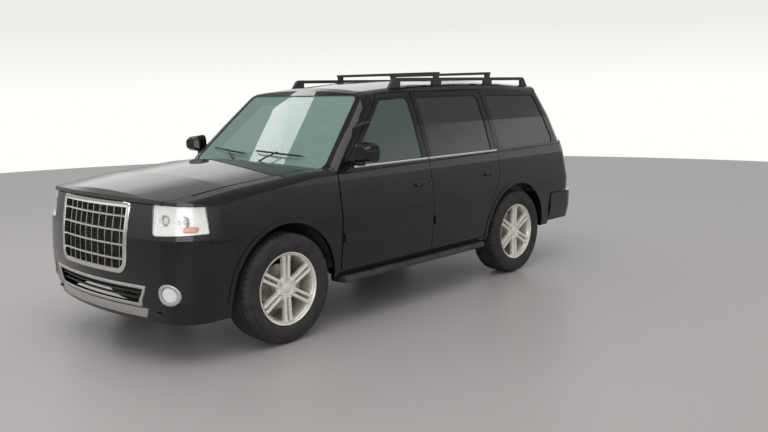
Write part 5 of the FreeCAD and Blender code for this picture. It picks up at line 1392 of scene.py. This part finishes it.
addPiece("exhaustTip", shifted(ringForm(tailLook["tip"], 40, "Y"), *fromAxle(-0.590, 4.032, 0.405)), "chrome",
         smooth=40.0)
print("tail finished")

# Engine bay: cover, filter box, battery, bottle, booster, hoses, fans and the hood's pad
hoodRows = ((-1.060, 1.080, 1.020), (-0.860, 1.150, 1.092), (-0.350, 1.208, 1.158), (0.300, 1.262, 1.212),
            (1.300, 1.226, 1.222))  # y, height in the middle, height at the crest
bayLook = {  # blocks: x, y, width, depth, corner radius, levels of (scale, height)
    "engineCover": [(0.0, -0.040, 0.440, 0.600, 0.060, ((0.96, 0.975), (1.0, 0.990), (1.0, 1.030), (0.97, 1.045),
                                                        (0.90, 1.052)))]
    + [(x, -0.040, 0.030, 0.470, 0.012, ((1.0, 1.045), (1.0, 1.060), (0.9, 1.064)))
       for x in (-0.135, -0.045, 0.045, 0.135)],
    "filterBox": [(-0.630, -0.330, 0.240, 0.280, 0.030, ((0.92, 0.815), (0.96, 0.930), (1.0, 0.935), (1.0, 0.955),
                                                         (0.94, 0.960), (0.90, 1.030), (0.80, 1.042)))],
    "battery": [(0.610, -0.430, 0.235, 0.180, 0.012, ((1.0, 0.800), (1.0, 0.965), (0.97, 0.978))),
                (0.610, -0.430, 0.290, 0.215, 0.015, ((1.0, 0.780), (1.0, 0.806)))]
    + [(x, -0.480, 0.030, 0.030, 0.008, ((1.0, 0.975), (0.9, 0.996))) for x in (0.530, 0.690)],
    "coolantBottle": [(0.640, 0.260, 0.150, 0.130, 0.030, ((0.9, 0.850), (1.0, 0.880), (1.0, 1.000),
                                                           (0.85, 1.020)))]}
pipeLook = {"filter": ((-0.560, -0.250, 0.985), (-0.460, -0.180, 1.000), (-0.330, -0.120, 1.010),
                       (-0.210, -0.080, 1.015)),
            "hoses": (((0.170, -0.400, 0.900), (0.230, -0.500, 0.930), (0.280, -0.600, 0.980), (0.300, -0.700, 1.010)),
                      ((-0.180, -0.400, 0.560), (-0.260, -0.500, 0.570), (-0.320, -0.600, 0.610),
                       (-0.350, -0.700, 0.640))),
            "bottleCap": ((0.0, 0.0), (0.0, 0.026), (0.022, 0.026), (0.026, 0.020), (0.026, 0.0)),
            "booster": ((0.0, 0.0), (0.0, 0.105), (-0.040, 0.112), (-0.052, 0.104), (-0.080, 0.060), (-0.080, 0.030),
                        (-0.170, 0.024), (-0.170, 0.0))}
fanLook = {"side": 0.225, "place": (-0.697, 0.830), "blades": 7, "pitch": 0.45,
           "shroud": ((0.0, 0.190), (0.0, 0.202), (0.055, 0.202), (0.055, 0.190)),
           "hub": ((0.010, 0.0), (0.010, 0.045), (0.045, 0.048), (0.050, 0.040), (0.050, 0.0))}


def hoodPoint(x, y, out=0.0):  # on the hood's outer face, out is upwards
    middle, crest = atHeight(hoodRows, y, 1), atHeight(hoodRows, y, 2)
    return fromAxle(x, y, middle - (middle - crest) * (x / 0.880) ** 2 + out)


def bayBlocks(name):
    return [shifted(blockForm(width, depth, radius, levels, 4), x, frontAxle + y)
            for x, y, width, depth, radius, levels in bayLook[name]]


def pipeForm(run, radius, sides):
    return tubeForm(curved([fromAxle(*place) for place in run], 6), radius, sides)


def fanForm():
    blade = spun(boxForm((-0.020, 0.020, 0.044), (0.020, 0.024, 0.184)), fanLook["pitch"])
    blades = [spun(blade, roundTurn * k / fanLook["blades"], "Y") for k in range(fanLook["blades"])]
    return merged(ringForm(fanLook["shroud"], 48, "Y"), capForm(fanLook["hub"], 32, "Y"), *blades)


bottleCap = shifted(capForm(pipeLook["bottleCap"], 28, "Z"), *fromAxle(0.640, 0.260, 1.018))
fans = [shifted(fanForm(), *fromAxle(x, *fanLook["place"])) for x in (-fanLook["side"], fanLook["side"])]
for name, parts, finish, smooth in (
        ("engineCover", bayBlocks("engineCover"), "trim", 40.0),
        ("filterBox", bayBlocks("filterBox") + [pipeForm(pipeLook["filter"], 0.036, 16)], "trim", 40.0),
        ("battery", bayBlocks("battery"), "trim", 40.0),
        ("coolantBottle", bayBlocks("coolantBottle") + [bottleCap], "bottle", 45.0),
        ("brakeBooster", [shifted(capForm(pipeLook["booster"], 40, "Y"), *fromAxle(0.430, 0.429, 0.930))], "framePaint",
         45.0)):
    addPiece(name, merged(*parts), finish, smooth=smooth)
addPiece("coolantHoses", merged(*[pipeForm(run, 0.022, 14) for run in pipeLook["hoses"]]), "rubber",
         smooth=60.0)
addPiece("radiatorFans", merged(*fans), "trim", smooth=40.0)
hoodPad = raisedForm(filled(loopAt(0.0, -0.330, 1.140, 0.800, 0.110)), lambda u, v, out: hoodPoint(u, v, -0.0268 - out),
                     0.010, 0.005, 0.0, 6)
addPiece("hoodPad", hoodPad, "carpet", "hood_lid", 60.0)
print("engine bay built")

# Running gear: brake calipers, springs and dampers
gearLook = {"caliperHalf": 30.0,
            "caliper": ((-0.051, 0.116), (-0.030, 0.116), (-0.030, 0.1695), (0.001, 0.1695), (0.001, 0.116),
                        (0.034, 0.116), (0.037, 0.150), (0.029, 0.184), (-0.044, 0.184)),  # across, radius
            # x, y, low, high, radius, turns
            "springs": {"front": (0.590, 0.0, 0.292, 0.560, 0.048, 5.5),
                        "rear": (0.415, 2.946, 0.462, 0.540, 0.050, 2.5)},
            "dampers": {"front": ((0.590, 0, 0.290), (0.590, 0, 0.480), (0.590, 0, 0.481), (0.590, 0, 0.840)),
                        "rear": ((0.520, 3.050, 0.360), (0.455, 3.150, 0.470), (0.453, 3.152, 0.473),
                                 (0.400, 3.235, 0.590))},
            "damperSizes": [0.026, 0.026, 0.012, 0.012]}


def caliperForm(axle, track, towards):
    rings = []
    for k in range(9):
        angle = math.radians(gearLook["caliperHalf"] * (k / 4 - 1))
        rings.append([(track + x, axle + towards * r * math.cos(angle), hubHeight + r * math.sin(angle))
                      for x, r in gearLook["caliper"]])
    return loftForm(rings)


def springForm(end):
    x, y, low, high, radius, turns = gearLook["springs"][end]
    steps = int(turns * 18)
    angles = [roundTurn * turns * k / steps for k in range(steps + 1)]
    run = [fromAxle(x + radius * math.cos(angle), y + radius * math.sin(angle), low + (high - low) * k / steps)
           for k, angle in enumerate(angles)]
    damper = tubeForm([fromAxle(*place) for place in gearLook["dampers"][end]], gearLook["damperSizes"], 16)
    return merged(tubeForm(run, 0.007, 8), damper)


onBothSides("frontCaliper", caliperForm(frontAxle, trackFront, 1), "castAlloy", ("left_steering", "right_steering"),
            smooth=40.0, bevel=0.003)
onBothSides("rearCaliper", caliperForm(rearAxle, trackRear, -1), "castAlloy", smooth=40.0, bevel=0.003)
for end in ("front", "rear"):
    onBothSides(end + "Spring", springForm(end), "framePaint", smooth=60.0)
print("running gear built")

# Stage, lamps and camera: the camera stands where the photographer stood
stageLook = {"floor": (0.37, 0.355, 0.355), "reach": 14.3, "sides": 128, "fill": 0.82, "tint": (1.0, 0.995, 0.975),
             "fade": (0.0, 0.075), "background": (1.0, 0.84),
             "mirrored": ((0.0, 0.35), (0.05, 0.50), (0.11, 1.0), (0.28, 1.0), (0.35, 0.35), (0.55, 0.24))}
cameraLook = {"place": (5.33, -5.27, 1.82), "azimuth": 42.6, "down": 9.0, "roll": -1.0, "lens": 37.97}
lightLook = {"over": {"size": (7.0, 5.0), "power": 185.0, "place": (1.5, -2.5, 6.5), "aim": (0.0, -0.3, 0.8)},
             "screen": {"size": (2.6, 1.5), "power": 62.0, "place": (-4.7, -1.4, 6.0), "aim": (0.0, -0.96, 1.5)},
             "front": {"size": (5.0, 2.5), "power": 90.0, "place": (4.5, -8.0, 2.8), "aim": (0.6, -1.5, 0.8)}}

floorMesh = bpy.data.meshes.new("floor")
reach, sides = stageLook["reach"], stageLook["sides"]
floorMesh.from_pydata([(u, v, 0) for u, v in ovalLoop(0, 0, reach, reach, sides)], [], [tuple(range(sides))])
floorFinish = Finish("floorPale", stageLook["floor"], Roughness=0.38)
speckle, cloudy = floorFinish.noise(34.0, 6.0, 0.7), floorFinish.noise(0.5, 4.0)
floorFinish.feed("Base Color", floorFinish.blend(speckle * 0.22 + cloudy * 0.25, stageLook["floor"],
                                                 toned(stageLook["floor"], 0.86)))
floorFinish.bump(speckle, 0.15, 0.002)
floorMesh.materials.append(floorFinish.material)
linked("floor", floorMesh)

# What the camera sees of the world, what surfaces mirror of it, and the plain fill that lights them
world = bpy.data.worlds.new("studio")
bpy.context.scene.world = world
world.use_nodes = True
studio = Tree(world.node_tree)
rise = studio.node("SeparateXYZ", {}, {0: studio.node("TexCoord", out="Generated")}, 2)
seen, glossy, passing = (studio.node("LightPath", out=kind)
                         for kind in ("Is Camera Ray", "Is Glossy Ray", "Is Transmission Ray"))
glints = seen.combine("MAXIMUM", glossy, passing)
strength = (seen * studio.spread(rise, *stageLook["fade"], *stageLook["background"])
            + glints * studio.ramp(rise, stageLook["mirrored"]) + (1.0 - seen - glints) * stageLook["fill"])
backdrop = world.node_tree.nodes["Background"]
world.node_tree.links.new(strength.socket, backdrop.inputs["Strength"])
backdrop.inputs["Color"].default_value = asColour(stageLook["tint"])

for name, look in lightLook.items():
    light = bpy.data.lights.new(name, "AREA")
    light.shape = "RECTANGLE"
    light.size, light.size_y = look["size"]
    light.energy = look["power"]
    lamp = linked(name, light)
    lamp.location = look["place"]
    lamp.rotation_euler = (Vector(look["aim"]) - Vector(look["place"])).to_track_quat("-Z", "Y").to_euler()

cameraData = bpy.data.cameras.new("camera")
cameraData.lens = cameraLook["lens"]
cameraData.sensor_width = 36.0
cameraData.clip_end = 300.0
camera = linked("camera", cameraData)
camera.matrix_world = (Matrix.Translation(cameraLook["place"])
                       @ Matrix.Rotation(math.radians(cameraLook["azimuth"]), 4, "Z")
                       @ Matrix.Rotation(math.radians(90.0 - cameraLook["down"]), 4, "X")
                       @ Matrix.Rotation(math.radians(cameraLook["roll"]), 4, "Z"))
bpy.context.scene.camera = camera
bpy.context.scene.view_settings.view_transform = "Standard"
print("stage, lamps and camera set")
